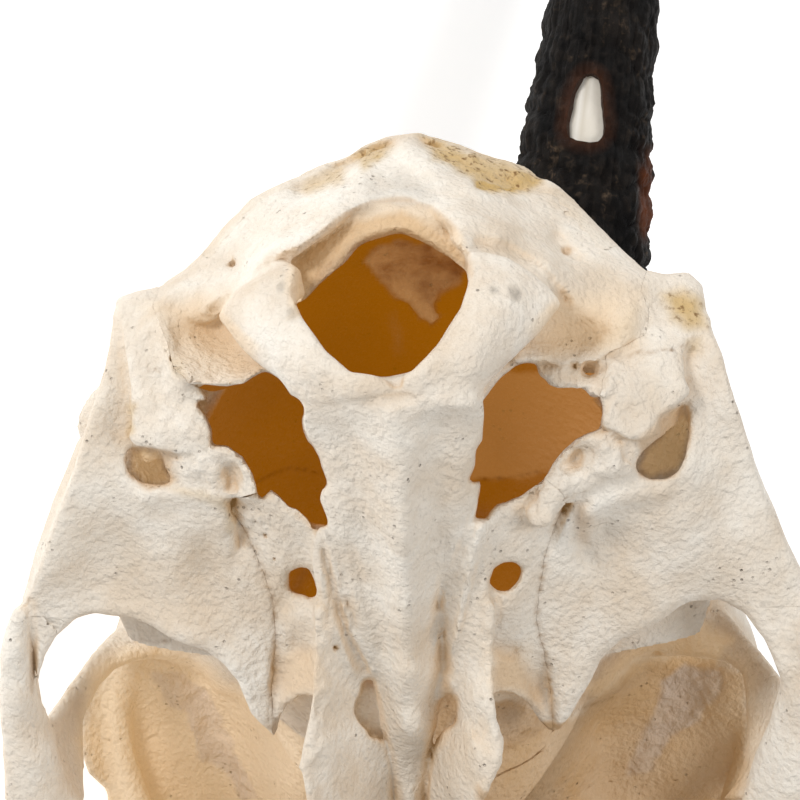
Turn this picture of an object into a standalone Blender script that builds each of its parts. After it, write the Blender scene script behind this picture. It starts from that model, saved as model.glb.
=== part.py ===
"""Skull of an adult male common duiker, life size, without its lower jaw.

The forms are laid out in the skull's own frame, in millimetres: the origin is the basion, the
middle of the lower rim of the foramen magnum, +X is the animal's right, +Y runs towards the nose
and +Z towards the crown. At the end the whole skull is turned over, the way it rests.
"""
import bpy
import bmesh
import random
from math import cos, pi, radians, sin
from mathutils import Euler, Matrix, Vector

MM = 0.001
SIDES = (-1, 1)
random.seed(7)

# Driving sizes of the skull, in millimetres.
SUTURE_GAP = 0.5
VAULT_CENTRE = (0, 32, 26)
VAULT_RADII = (27.0, 35.0, 20.2)
VAULT_WALL = 2.4
ORBIT_CENTRE = (30.4, 76.5, 22)
ORBIT_RADII = (16.6, 15.0, 14.2)
HORN_BASE = (13.4, 52, 47)
HORN_AXIS = (0.12, -0.57, 0.81)
HORN_LENGTH = 106
HORN_BASE_RADIUS = 8.8
HORN_TIP_RADIUS = 0.8
HORN_BOW = 8
HORN_WALL = 1.6
RING_HEIGHT = 0.35
SEAT_FLARE = 0.8
CORE_LENGTH = 66
CORE_ROOT = 8
BROKEN_CORE_LENGTH = 5
TOOTH_ROW = (72, 122)
TOOTH_LENGTHS = (6.0, 7.0, 6.6, 9.0, 10.2, 10.6)
TOOTH_WIDTHS = (5.0, 6.2, 7.4, 8.8, 9.2, 8.6)
PREMOLARS = 3
CROWN_HEIGHT = 5.6
CROWN_WEAR = 0.4

# How finely the forms are fused, in millimetres, and how much each bone is thinned afterwards.
BULK_VOXEL = 1.1
FINE_VOXEL = 0.8
ROOM_VOXEL = 1.1
BONE_VOXEL = 0.7
THINNING = 0.028
LEAST_TRIANGLES = 190
MEETING_CUT = 0.15

# How the horn is drawn: steps along it, how fast it narrows and how far up its rings reach.
HORN_STEPS = 22
HORN_NARROWING = 0.78
HORN_NARROWING_BEND = 1.15
RINGED_SHARE = 0.55

# How the skull rests, turned over on its left brow, nose and right horn: the directions in the
# skull's frame that then point up and away from the viewer, and how deep the three contacts wear.
REST_UP = (0.525, -0.431, -0.734)
REST_AHEAD = (0.803, 0.537, 0.259)
CONTACT_WEAR = 0.25

# The saw's path between the paired bones, which spares the unpaired ones: outline in (y, z).
MIDLINE = [(38.5, 90), (41, 34), (53, 18), (61.2, 12.4), (61.2, -30), (190, -30), (190, 90)]

# Where each bone ends, in the order in which they are taken off: name, outline in (y, z), the
# least and the greatest distance from the middle, and whether it has a left and a right.
BONES = [
    ("nasal", [(94, 60), (93, 40), (116, 28), (146, 20), (150, 40), (120, 60)], 0, 7.2, True),
    ("premaxilla", [(150, 40), (146, 22), (129, 21), (134, 4), (127, -10), (180, -12),
                    (180, 40)], 0, 30, True),
    ("lacrimal", [(88, 38), (98, 37), (106, 30), (107, 16), (98, 10), (86, 12),
                  (82, 24)], 9, 60, True),
    ("jugal", [(34, 0), (38, 9.2), (46, 9.4), (56, 10.6), (53, 17), (60, 22), (72, 9), (86, 12),
               (98, 10), (101, 4), (88, -3), (72, -2.6), (40, -8)], 17.5, 60, True),
    ("maxilla", [(68, -30), (68, -6), (74, 6), (86, 12), (98, 10), (107, 16), (106, 30), (98, 37),
                 (92, 60), (150, 60), (150, -30)], 0, 60, True),
    ("frontal", [(60, 14), (58, 21), (53, 17), (52, 26), (40, 34), (38, 70), (20, 160), (110, 120),
                 (112, 8), (74, 6)], 0, 60, True),
    ("temporal", [(8.5, 60), (6.6, 26), (4.4, 18), (6, 4), (20, -6), (60, 0), (60, 20), (46, 28),
                  (34, 33), (20, 33)], 13.6, 60, True),
    ("parietal", [(6.4, 60), (5.2, 34), (6.6, 26), (8.5, 30), (34, 30), (46, 24), (60, 22),
                  (60, 60)], -60, 60, False),
    ("occipital", [(-20, -20), (23.5, -20), (23.5, 5.5), (14, 9), (9.5, 24), (9.5, 60),
                   (-20, 60)], -60, 60, False),
    ("palatine", [(61.3, -40), (61.3, 30), (110, 60), (110, -40)], 0, 60, True),
    ("sphenoid", [(0, -40), (61, -40), (61, 30), (60, 60), (0, 60)], -60, 60, False),
]

# Colours of the parts as linear red, green and blue, and their roughness.
BONE = ((0.80, 0.74, 0.64), 0.55)
STAINED_BONE = ((0.72, 0.62, 0.45), 0.6)
HORN = ((0.012, 0.010, 0.009), 0.38)


# Helpers: stock shapes, all made in metres from sizes in millimetres.

def new_object(name, bm):
    mesh = bpy.data.meshes.new(name)
    bmesh.ops.recalc_face_normals(bm, faces=bm.faces)
    bm.to_mesh(mesh)
    bm.free()
    obj = bpy.data.objects.new(name, mesh)
    bpy.context.scene.collection.objects.link(obj)
    return obj


def egg(centre, radii, turn=(0, 0, 0), detail=4):
    """A closed ellipsoid."""
    bm = bmesh.new()
    bmesh.ops.create_icosphere(bm, subdivisions=detail, radius=1)
    place = (Matrix.Translation(Vector(centre) * MM)
             @ Euler([radians(a) for a in turn]).to_matrix().to_4x4()
             @ Matrix.Diagonal([*(Vector(radii) * MM), 1]))
    bmesh.ops.transform(bm, matrix=place, verts=bm.verts)
    return new_object("egg", bm)


def loft(stations, up=(0, 0, 1), sides=20):
    """A closed tube through stations of (centre, half width, half height)."""
    bm = bmesh.new()
    centres = [Vector(s[0]) for s in stations]
    rings = []
    for i, (_, wide, high) in enumerate(stations):
        along = (centres[min(i + 1, len(centres) - 1)] - centres[max(i - 1, 0)]).normalized()
        across = along.cross(Vector(up)).normalized()
        upward = across.cross(along)
        rings.append([
            bm.verts.new((centres[i] + across * wide * cos(a) + upward * high * sin(a)) * MM)
            for a in (2 * pi * k / sides for k in range(sides))])
    for low, high in zip(rings, rings[1:]):
        for k in range(sides):
            n = (k + 1) % sides
            bm.faces.new((low[k], low[n], high[n], high[k]))
    bm.faces.new(rings[0])
    bm.faces.new(rings[-1])
    return new_object("loft", bm)


def hull(balls, detail=2):
    """The convex hull of balls of (centre, radius)."""
    ball = bmesh.new()
    bmesh.ops.create_icosphere(ball, subdivisions=detail, radius=1)
    unit = [v.co.copy() for v in ball.verts]
    ball.free()
    bm = bmesh.new()
    for centre, radius in balls:
        for co in unit:
            bm.verts.new((Vector(centre) + co * radius) * MM)
    made = bmesh.ops.convex_hull(bm, input=bm.verts)
    spare = {v for v in made["geom_interior"] + made["geom_unused"]
             if isinstance(v, bmesh.types.BMVert)}
    bmesh.ops.delete(bm, geom=list(spare), context="VERTS")
    return new_object("hull", bm)


def chain(balls, detail=2):
    """Hulls of each neighbouring pair of balls: a bent rod."""
    return [hull(pair, detail) for pair in zip(balls, balls[1:])]


def sheet(points, corners, radius):
    """Bone plate through triangles of numbered points, twice the radius thick."""
    return [hull([(points[k], radius) for k in tri], 1) for tri in corners]


def both(maker):
    """Makes the same parts on the left and on the right."""
    return [part for side in SIDES for part in maker(side)]


def flip(side, balls):
    return [((c[0] * side, c[1], c[2]), r) for c, r in balls]


def flip_stations(side, stations):
    return [((c[0] * side, c[1], c[2]), w, h) for c, w, h in stations]


def bake(obj):
    """Puts the evaluated modifiers into the mesh."""
    graph = bpy.context.evaluated_depsgraph_get()
    mesh = bpy.data.meshes.new_from_object(obj.evaluated_get(graph))
    obj.modifiers.clear()
    obj.data = mesh
    return obj


def joined(name, parts):
    bm = bmesh.new()
    for part in parts:
        bm.from_mesh(part.data)
        bpy.data.objects.remove(part)
    return new_object(name, bm)


def clay(name, parts, voxel, smoothing):
    """Fuses overlapping solids into one with soft joints."""
    obj = joined(name, parts)
    fuse = obj.modifiers.new("fuse", "REMESH")
    fuse.mode = "VOXEL"
    fuse.voxel_size = voxel * MM
    soften = obj.modifiers.new("soften", "SMOOTH")
    soften.factor = 0.5
    soften.iterations = smoothing
    return bake(obj)


def boolean(obj, cutter, operation):
    """Cuts or joins closed solids, also where thin plates of bone meet in slivers."""
    step = obj.modifiers.new(operation.lower(), "BOOLEAN")
    step.operation = operation
    step.solver = "MANIFOLD"
    step.object = cutter
    return bake(obj)


def carve(obj, cutters):
    for cutter in cutters:
        boolean(obj, cutter, "DIFFERENCE")
        bpy.data.objects.remove(cutter)


# Bulk: the soft, round masses of the skull.

def face_bulk():
    return [loft([((0, 66, 30), 17, 22), ((0, 84, 24), 19, 25), ((0, 100, 18.5), 18.5, 23),
                  ((0, 115, 14.5), 15.0, 20), ((0, 130, 11), 11.5, 16), ((0, 141, 6), 8.5, 11)],
                 sides=32)]


def squamous_side(side):
    glenoid = flip(side, [((19, 25, 14), 4), ((30, 23, 15), 3), ((34.5, 33, 12.5), 2.6),
                          ((27, 36, 12), 3.2), ((17, 38, 13), 4), ((15, 49, 12), 2.6)])
    root = flip(side, [((27.5, 10, 17.5), 2.6), ((31, 22, 15), 2.6), ((34, 32, 13), 3),
                       ((20, 20, 18), 4), ((22, 32, 18), 4)])
    mastoid = flip(side, [((26.6, 7.5, 18.6), 2.4), ((21, 7, 17), 3), ((23, 15, 14), 3.2),
                          ((27, 15, 15), 2.6)])
    drum = flip(side, [((25.5, 10, 13), 2.2), ((20, 11, 11.5), 2.4), ((24, 16, 11), 2)])
    return [hull(glenoid), hull(root), hull(mastoid), hull(drum)]


def brow_side(side):
    pedicle = flip(side, [((12.5, 56, 41), 9), ((13.2, 53, 45.5), 8)])
    roof = flip(side, [((8, 60, 49.6), 3), ((8, 86, 44.8), 3), ((25, 78, 42.6), 2.4),
                       ((26.6, 67, 40.8), 2.4)])
    eave = flip(side, [((31.4, 68, 38.6), 1.9), ((33.6, 74, 37.8), 1.9), ((32.6, 84, 35.4), 1.9),
                       ((22, 66, 42.2), 1.9), ((22, 86, 41.6), 1.9), ((30.6, 90, 31.6), 1.9)])
    return [hull(pedicle), hull(roof), hull(eave)]


def bulk_parts():
    parts = [egg(VAULT_CENTRE, VAULT_RADII), egg((0, 60, 34), (21, 24, 18)),
             egg((0, 60, 24), (15, 20, 16))]
    parts += face_bulk()
    return parts + both(squamous_side) + both(brow_side)


# Crisp: the ridges, condyles, arches and bars that stand out from the bulk.

def condyle(side):
    top = 0.7 * side
    return [hull(flip(side, [((10.6, -2.8, 12.8 + top), 2.7), ((13.8, -0.2, 10.2 + top), 2.6),
                             ((9.6, 0.5, 3.4), 2.6), ((6.2, 2.2, 0.6), 2.6), ((11, 5, 8), 3)]), 3)]


def occipital_side(side):
    points = [((0, 2.6, 37.0), 1.8), ((11, 4.0, 32.8), 1.7), ((17.6, 5.2, 25.2), 1.7),
              ((22.5, 6.3, 20.4), 1.8), ((26.8, 7.6, 18.4), 2.0)]
    crest = chain(flip(side, points))
    body = [hull(flip(side, [((0, 2.6, 37.0), 1.8), ((11, 4.0, 32.8), 1.7),
                             ((17.6, 5.2, 25.2), 1.7), ((0, -0.4, 21), 2.0),
                             ((9.4, 1.2, 16), 2.2)])),
            hull(flip(side, [((17.6, 5.2, 25.2), 1.7), ((22.5, 6.3, 20.4), 1.8),
                             ((9.4, 1.2, 16), 2.2), ((16.5, 5.6, 9.5), 2.0)])),
            hull(flip(side, [((22.5, 6.3, 20.4), 1.8), ((26.8, 7.6, 18.4), 2.0),
                             ((16.5, 5.6, 9.5), 2.0), ((22, 8, 11), 2.0)]))]
    rim = chain(flip(side, [((0, -1.4, 19.6), 1.8), ((6.5, -1.8, 17.2), 1.8),
                            ((10.4, -2.4, 13.6), 2.0), ((10.4, 0.6, 7), 2.2),
                            ((6.8, 2.2, 1.4), 2.2)]))
    return crest + body + rim


def jugular_process(side):
    if side < 0:
        return chain(flip(side, [((21.2, 6, 14), 2.0), ((19.8, 4.6, 9), 1.5),
                                 ((18.8, 3.6, 5.6), 1.1)]))
    return chain(flip(side, [((21.5, 6, 15), 2.0), ((21, 5.4, 12.4), 1.8)]))


def arch(side):
    upper = flip_stations(side, [((31, 22, 15.4), 2.0, 2.6), ((35.1, 31, 12.4), 2.0, 2.4),
                                 ((38.4, 38.5, 11.1), 1.5, 2.2), ((40.0, 45.5, 11.2), 1.3, 2.0),
                                 ((40.0, 53.5, 12.1), 1.0, 1.4)])
    lower = flip_stations(side, [((39.6, 37.5, 8.4), 0.9, 1.1), ((40.6, 43.5, 7.9), 1.4, 2.0),
                                 ((40.7, 50.5, 7.6), 1.6, 2.6), ((39.5, 57.5, 7.2), 1.9, 3.2),
                                 ((36.4, 66, 6.2), 2.2, 3.6), ((31.2, 77, 5.0), 2.6, 3.9),
                                 ((26, 87, 5.8), 3.2, 4.8), ((19.6, 97.4, 8), 4, 6)])
    return [loft(upper), loft(lower)]


def postorbital_bar(side):
    """The broad plate behind the orbit, from the brow down to the cheek arch."""
    outer = [(32.6, 64.8, 38), (35.2, 60.1, 28), (38.0, 57.6, 18), (39.2, 55.0, 9.6)]
    inner = [(30.0, 69.6, 37.6), (33.4, 65.0, 30), (35.8, 62.4, 20), (35.4, 62.8, 9)]
    rungs = list(zip(outer, inner))
    return [hull(flip(side, [(point, 1.25) for point in low + high]), 1)
            for low, high in zip(rungs, rungs[1:])]


def orbit_rim(side):
    rim = flip(side, [((31.6, 66, 37.6), 1.8), ((34.0, 73, 36.6), 1.8), ((34.2, 80, 34.0), 1.8),
                      ((31.6, 88, 29.0), 1.9), ((28.0, 93, 23), 2.1), ((26.2, 93.2, 15), 2.2),
                      ((28.8, 85.5, 9), 2.4)])
    cheek = [hull(flip(side, [((26.0, 92, 26), 2.2), ((24.6, 90, 36), 2.2), ((15, 97, 38), 3),
                              ((16, 108, 26), 3)])),
             hull(flip(side, [((26.0, 92, 26), 2.2), ((25.4, 91.6, 16), 2.3), ((16, 108, 26), 3),
                              ((17, 106, 10), 3)])),
             hull(flip(side, [((25.4, 91.6, 16), 2.3), ((28, 85.6, 8), 2.6), ((17, 106, 10), 3),
                              ((18, 96, 2), 4)]))]
    shelf = hull(flip(side, [((29, 80, 38.4), 2), ((28, 86, 36.6), 2), ((24.4, 91.6, 33.8), 2),
                             ((14, 98, 37.8), 3), ((10, 84, 43.6), 3)]))
    return [shelf] + chain(rim) + cheek + postorbital_bar(side)


def sphenoid_side(side):
    wing = [hull(flip(side, [((6.5, 25, 5), 1.8), ((12.5, 25, 9), 2.0), ((13.6, 36, 9.5), 2.0),
                             ((5.0, 38, 5), 1.8)])),
            hull(flip(side, [((13.6, 36, 9.5), 2.0), ((5.0, 38, 5), 1.8), ((14.2, 51.5, 9.2), 1.2),
                             ((6, 50, 9), 2.0), ((12, 50, 14), 2.0)]))]
    plate = sheet([(8.6 * side, 30, 2.0), (9.4 * side, 38, -2.4), (9.2 * side, 47, -6.4),
                   (9.0 * side, 62, -9.5), (5.0 * side, 34, 4.4), (5.4 * side, 46, 5.0),
                   (5.8 * side, 62, 5.0)],
                  [(0, 1, 4), (1, 5, 4), (1, 2, 5), (2, 6, 5), (2, 3, 6)], 0.95)
    return wing + plate


def keel():
    bar = loft([((0, 1.5, 2.6), 7.2, 2.4), ((0, 8, 2.2), 8.6, 2.9), ((0, 20, 2.8), 7.6, 3.2),
                ((0, 28, 3.2), 5.4, 3.2), ((0, 38, 4.0), 3.7, 3.2), ((0, 50, 5.0), 2.6, 3.2),
                ((0, 66, 6.0), 2.0, 3.2)])
    edge = chain([((0, 6, 0.4), 1.0), ((0, 16, -0.2), 1.0), ((0, 28, 0.4), 1.0),
                  ((0, 40, 1.4), 0.9), ((0, 60, 2.6), 0.8), ((0, 74, 2.0), 0.8)])
    core = hull([((0, 10, 7), 4), ((0, 30, 8), 4), ((0, 50, 10), 4)])
    return [bar, core] + edge


def palate_side(side):
    row = hull(flip(side, [((17.5, 72, -4.5), 3.2), ((16.5, 92, -5), 3.2), ((13.5, 112, -4), 3.0),
                           ((12.5, 122, -2.5), 2.6), ((17, 80, 4), 4), ((13, 116, 4), 4)]))
    back = sheet([(9 * side, 60, -9.2), (12 * side, 72, -7.6), (16 * side, 74, -6),
                  (6 * side, 62, 5), (9 * side, 78, 6), (16 * side, 78, 6)],
                 [(0, 1, 3), (1, 4, 3), (1, 2, 4), (2, 5, 4)], 1.1)
    floor = sheet([(0, 68, -5.6), (14 * side, 72, -6), (0, 96, -5.4), (15 * side, 96, -6),
                   (0, 124, -3.6), (12 * side, 122, -4)],
                  [(0, 1, 2), (1, 3, 2), (2, 3, 4), (3, 5, 4)], 1.2)
    return [row] + back + floor


def muzzle_side(side):
    rods = chain(flip(side, [((11, 122, -1.5), 2.2), ((9.4, 136, -1.2), 2.0),
                             ((8.8, 148, -1), 1.9), ((6.2, 158, -1.6), 1.8),
                             ((2.6, 162, -2), 1.6)]))
    inner = chain(flip(side, [((2.6, 162, -2), 1.4), ((1.8, 148, -1.8), 1.2),
                              ((2.0, 132, -2.6), 1.2)]))
    riser = [hull(flip(side, [((8.8, 150, -0.6), 1.3), ((9.6, 134, 9), 1.3),
                              ((7.6, 132, 19), 1.2), ((10.4, 126, 12), 1.4),
                              ((10.4, 126, 0), 1.4)]))]
    nasal = [hull(flip(side, [((4.0, 90, 43.5), 2.2), ((5.6, 116, 33.0), 2.0),
                              ((2.0, 116, 34.6), 1.8), ((4.6, 132, 25.6), 1.6),
                              ((1.8, 132, 28.2), 1.5), ((1.8, 142, 24.6), 1.1)]))]
    return rods + inner + riser + nasal


def crisp_parts():
    parts = keel()
    for maker in (condyle, occipital_side, jugular_process, arch, orbit_rim, sphenoid_side,
                  palate_side, muzzle_side):
        parts += both(maker)
    return parts


# Openings: everything that is hollow or goes through.

def vault_hollow():
    room = egg(VAULT_CENTRE, [r - VAULT_WALL for r in VAULT_RADII])
    front = egg((0, 58, 28), (14, 14, 13))
    return clay("vault", [room, front], ROOM_VOXEL, 4)


def foramen_magnum():
    return loft([((0, -8, 8.4), 7.6, 9.5), ((-0.4, -2, 9.2), 7.9, 8.4), ((0, 3, 11), 7.8, 8.2),
                 ((0, 10, 14), 8, 8)], sides=24)


def ear_opening(side):
    return hull(flip(side, [((17.2, 11, 6), 2.4), ((11.4, 9.5, 4), 2.6), ((10.4, 18.5, 2), 1.6),
                            ((17.2, 14, 14), 2.4), ((11, 12, 14), 2.6), ((11, 20, 14), 1.4)]))


def orbit_hollow(side):
    """The round eye socket, wider towards the outside."""
    x, y, z = ORBIT_CENTRE
    wide, long, high = ORBIT_RADII
    mouth = flip(side, [((20, y - 1.5, z), high - 2.4), ((33, y - 10.5, z), high - 2.4),
                        ((42, y - 0.5, z), high - 2.4), ((36, y + 7.5, z), high - 2.4)])
    return clay("socket", [egg((x * side, y, z), (wide, long, high)), hull(mouth, 3),
                           hull(flip(side, [((18, 80, 24), 4.5), ((13, 84, 20), 4.5)]))], ROOM_VOXEL, 2)


def temporal_hollow(side):
    return hull(flip(side, [((30.5, 47, 18), 4.4), ((29, 49, 30), 4.4), ((22.6, 58, 21), 4.4),
                            ((30, 53, 4), 4.4), ((28, 61, 29), 3.4), ((32, 48, 8), 4.4),
                            ((38, 50, 20), 4.4), ((24, 55, 9), 4.4)]), 3)


def nose_hollow():
    return loft([((0, 52, -4), 4.4, 4.6), ((0, 64, -2), 5.4, 6.4), ((0, 76, 4), 7.5, 7.5),
                 ((0, 92, 14), 10, 14), ((0, 112, 12), 10.5, 14), ((0, 128, 9.5), 8.4, 12),
                 ((0, 150, 9.5), 6.6, 10)], sides=28)


def snout_slot():
    return hull([((0, 140, 14), 5.5), ((0, 170, 8), 8), ((0, 150, 6), 6), ((0, 170, 30), 8)])


def face_pit(side):
    return egg((23.5 * side, 105, 22), (6.5, 9, 9))


def ear_pit(side):
    return hull(flip(side, [((25.4, 19.5, 8), 1.5), ((23.4, 20.5, 13.5), 1.3),
                            ((26.4, 19, 10), 1.4)]))


def oval_hole(side):
    return loft(flip_stations(side, [((9.9, 26.6, 0), 1.5, 1.4), ((9.9, 29.6, 4), 1.5, 1.4),
                                     ((9.6, 34, 13), 1.6, 1.5)]), up=(0, 1, 0), sides=12)


def round_hole(side):
    return loft(flip_stations(side, [((10.6, 40, 2), 2.0, 1.5), ((10, 44, 9), 2.0, 1.6),
                                     ((9, 50, 17), 2.0, 1.8)]), up=(0, 1, 0), sides=12)


def openings():
    cutters = [vault_hollow(), foramen_magnum(), nose_hollow(), snout_slot()]
    for maker in (ear_opening, orbit_hollow, face_pit, ear_pit, oval_hole, round_hole):
        cutters += [maker(side) for side in SIDES]
    return cutters


# Bones: each one is carved out of the whole along its sutures, widened by the gap.

def prism(name, outline, low, high, grow):
    """A closed prism over an outline in (y, z), from low to high across the skull."""
    points = [Vector(p) for p in outline]
    area = sum(a.x * b.y - b.x * a.y for a, b in zip(points, points[1:] + points[:1]))
    if area < 0:
        points.reverse()
    rim = []
    for i, p in enumerate(points):
        before = (p - points[i - 1]).normalized()
        after = (points[(i + 1) % len(points)] - p).normalized()
        n1, n2 = Vector((before.y, -before.x)), Vector((after.y, -after.x))
        rim.append(p + (n1 + n2) * (grow / (1 + n1.dot(n2))))
    bm = bmesh.new()
    rings = []
    for level in (low, high):
        ring = []
        for p in rim:
            ring.append(bm.verts.new(Vector((level, p.x, p.y)) * MM))
        rings.append(ring)
    count = len(rim)
    for k in range(count):
        n = (k + 1) % count
        bm.faces.new((rings[0][k], rings[0][n], rings[1][n], rings[1][k]))
    bm.faces.new(rings[0])
    bm.faces.new(rings[1])
    bmesh.ops.triangulate(bm, faces=bm.faces[:])
    return new_object(name, bm)


def horn_point(along, side=1):
    """A point on the horn's axis, which bows a little backwards and then up."""
    base, axis = Vector(HORN_BASE), Vector(HORN_AXIS).normalized()
    t = along / HORN_LENGTH
    bow = Vector((0, -1, -0.6)).normalized() * HORN_BOW * t * (1 - t)
    p = base + axis * along + bow
    return (p.x * side, p.y, p.z)


def horn_sheath():
    """The black sheath: open below, wrinkled near the base, worn through at the back."""
    stations = []
    for k in range(HORN_STEPS + 1):
        t = k / HORN_STEPS
        ring = RING_HEIGHT * (k % 2) * max(0, 1 - t / RINGED_SHARE)
        thick = HORN_BASE_RADIUS * (1 - HORN_NARROWING * t ** HORN_NARROWING_BEND) + ring
        if k == HORN_STEPS:
            thick = HORN_TIP_RADIUS
        stations.append((horn_point(HORN_LENGTH * t), thick, thick * 1.05))
    sheath = loft(stations, up=(1, 0, 0), sides=18)
    inner = []
    for k in range(9):
        along = -4 + (CORE_LENGTH + 6) * k / 8
        inner.append((horn_point(along), core_radius(along) + SUTURE_GAP,
                      core_radius(along) + SUTURE_GAP))
    return sheath, loft(inner, up=(1, 0, 0), sides=16)


def horn_seat():
    """The room that the sheath's lower end takes up on the brow."""
    wide = HORN_BASE_RADIUS + SEAT_FLARE
    return loft([(horn_point(-0.4), wide, wide * 1.05), (horn_point(7), wide, wide * 1.05),
                 (horn_point(16), wide, wide * 1.05)], up=(1, 0, 0), sides=18)


def core_radius(along):
    t = max(0, along) / CORE_LENGTH
    return (HORN_BASE_RADIUS - HORN_WALL) * max(0.12, 1 - t ** 2) ** 0.7


def horn_core(length, side):
    stations = []
    steps = 8
    for k in range(steps + 1):
        along = -CORE_ROOT + (length + CORE_ROOT) * k / steps
        place = horn_point(along)
        thick = core_radius(along)
        stations.append(((place[0] * side, place[1], place[2]), thick, thick))
    return loft(stations, up=(1, 0, 0), sides=16)


def lobe(centre, length, width, crown, tilt):
    """One lobe of a cheek tooth: a high outer cusp and a lower inner one."""
    x, y, z = centre
    out = 1 if x > 0 else -1
    root = 2.2
    points = []
    for dx, dy, dz in [(-0.5, -0.5, 0), (-0.5, 0.5, 0), (0.5, -0.5, 0), (0.5, 0.5, 0)]:
        points.append((x + out * dx * width * 0.86, y + dy * length * 0.9, z + root))
        points.append((x + out * dx * width, y + dy * length, z - crown * 0.45))
    points += [(x + out * 0.44 * width, y - 0.38 * length, z - crown * 0.86 + tilt),
               (x + out * 0.40 * width, y + 0.08 * length, z - crown * 1.06),
               (x + out * 0.44 * width, y + 0.42 * length, z - crown * 0.84 - tilt),
               (x - out * 0.40 * width, y - 0.12 * length, z - crown * 0.86),
               (x - out * 0.36 * width, y + 0.30 * length, z - crown * 0.80)]
    bm = bmesh.new()
    for p in points:
        bm.verts.new(Vector(p) * MM)
    made = bmesh.ops.convex_hull(bm, input=bm.verts)
    spare = {v for v in made["geom_interior"] + made["geom_unused"]
             if isinstance(v, bmesh.types.BMVert)}
    bmesh.ops.delete(bm, geom=list(spare), context="VERTS")
    return new_object("lobe", bm)


def cheek_teeth(side):
    """Three premolars of one lobe and three molars of two, worn a little unevenly."""
    made = []
    y = TOOTH_ROW[1]
    for k, (length, width) in enumerate(zip(TOOTH_LENGTHS, TOOTH_WIDTHS)):
        lobes = 1 if k < PREMOLARS else 2
        for n in range(lobes):
            t = (TOOTH_ROW[1] - y) / (TOOTH_ROW[1] - TOOTH_ROW[0])
            x = 12.0 + 5.4 * min(1, t * 1.5) ** 0.8
            part = length / lobes
            centre = (side * (x + random.uniform(-0.15, 0.15)), y - part / 2,
                      -5.6 + 1.4 * (1 - t) - 0.6 * n / 2)
            crown = CROWN_HEIGHT + random.uniform(-CROWN_WEAR, CROWN_WEAR)
            made.append(lobe(centre, part * 1.04, width, crown, random.uniform(-0.3, 0.3)))
            y -= part
    return made


def unite(obj, parts):
    """One union of a bone with all of the parts that grow from it."""
    group = bpy.data.collections.new("parts")
    bpy.context.scene.collection.children.link(group)
    for part in parts:
        group.objects.link(part)
    step = obj.modifiers.new("unite", "BOOLEAN")
    step.operation = "UNION"
    step.operand_type = "COLLECTION"
    step.collection = group
    step.solver = "MANIFOLD"
    bake(obj)
    for part in parts:
        bpy.data.objects.remove(part)
    bpy.data.collections.remove(group)
    return obj


def window():
    """Where the sheath is worn through to the core, on the side that faces backwards."""
    low, high = Vector(horn_point(38.5)), Vector(horn_point(44.5))
    out = Vector((-0.08, -0.82, -0.57)) * 7
    return hull([(tuple(low + out), 1.9), (tuple(high + out), 1.4),
                 (tuple(low + out * 2), 2.2), (tuple(high + out * 2), 1.6)])


def rest_turn():
    """The turn from the skull's frame to the room, as the skull lies."""
    up = Vector(REST_UP).normalized()
    ahead = Vector(REST_AHEAD)
    ahead = (ahead - up * ahead.dot(up)).normalized()
    return Matrix((ahead.cross(up), ahead, up))


def heights(obj, turn):
    return [turn[2].dot(v.co) for v in obj.data.vertices]


def lowest_contact(bones, turn):
    """The floor's height: the highest of the three contacts, with a little wear."""
    touching = ("horn_sheath_right", "nasal_left", "frontal_left")
    lows = [min(heights(bone, turn)) for bone in bones if bone.name in touching]
    return max(lows) + CONTACT_WEAR * MM


def wear_flat(bone, turn, floor):
    """Takes off what would stand in the floor."""
    if min(heights(bone, turn)) >= floor:
        return
    bm = bmesh.new()
    slab = Matrix.LocRotScale(turn[2] * (floor - 0.1), turn.transposed().to_quaternion(),
                              (0.6, 0.6, 0.2))
    bmesh.ops.create_cube(bm, size=1, matrix=slab)
    cutter = new_object("slab", bm)
    boolean(bone, cutter, "DIFFERENCE")
    bpy.data.objects.remove(cutter)


def rest_place(bones, turn, floor):
    """Turns the skull and puts the middle of its box over the origin, on the floor."""
    placed = [turn @ v.co for bone in bones for v in bone.data.vertices]
    middle = [(min(p[k] for p in placed) + max(p[k] for p in placed)) / 2 for k in range(2)]
    place = turn.to_4x4()
    place.translation = (-middle[0], -middle[1], -floor)
    return place


def finish_bone(bone):
    """The bone's own material, and soft shading with its edges kept."""
    look = BONE
    if bone.name.startswith("horn"):
        look = HORN
    if bone.name in ("parietal", "palatine"):
        look = STAINED_BONE
    material = bpy.data.materials.new(bone.name)
    material.use_nodes = True
    surface = material.node_tree.nodes["Principled BSDF"]
    surface.inputs["Base Color"].default_value = (*look[0], 1)
    surface.inputs["Roughness"].default_value = look[1]
    surface.inputs["Metallic"].default_value = 0
    bone.data.materials.clear()
    bone.data.materials.append(material)
    bone.data.shade_smooth()
    bone.data.set_sharp_from_angle(angle=radians(50))


def triangles(obj):
    return sum(len(p.vertices) - 2 for p in obj.data.polygons)


def keep_largest(obj):
    """Drops the crumbs that a cut leaves."""
    bm = bmesh.new()
    bm.from_mesh(obj.data)
    bm.verts.ensure_lookup_table()
    seen = set()
    islands = []
    for start in bm.verts:
        if start in seen:
            continue
        group, todo = [], [start]
        seen.add(start)
        while todo:
            v = todo.pop()
            group.append(v)
            for e in v.link_edges:
                other = e.other_vert(v)
                if other not in seen:
                    seen.add(other)
                    todo.append(other)
        islands.append(group)
    islands.sort(key=len)
    for group in islands[:-1]:
        bmesh.ops.delete(bm, geom=group, context="VERTS")
    bm.to_mesh(obj.data)
    bm.free()


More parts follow.
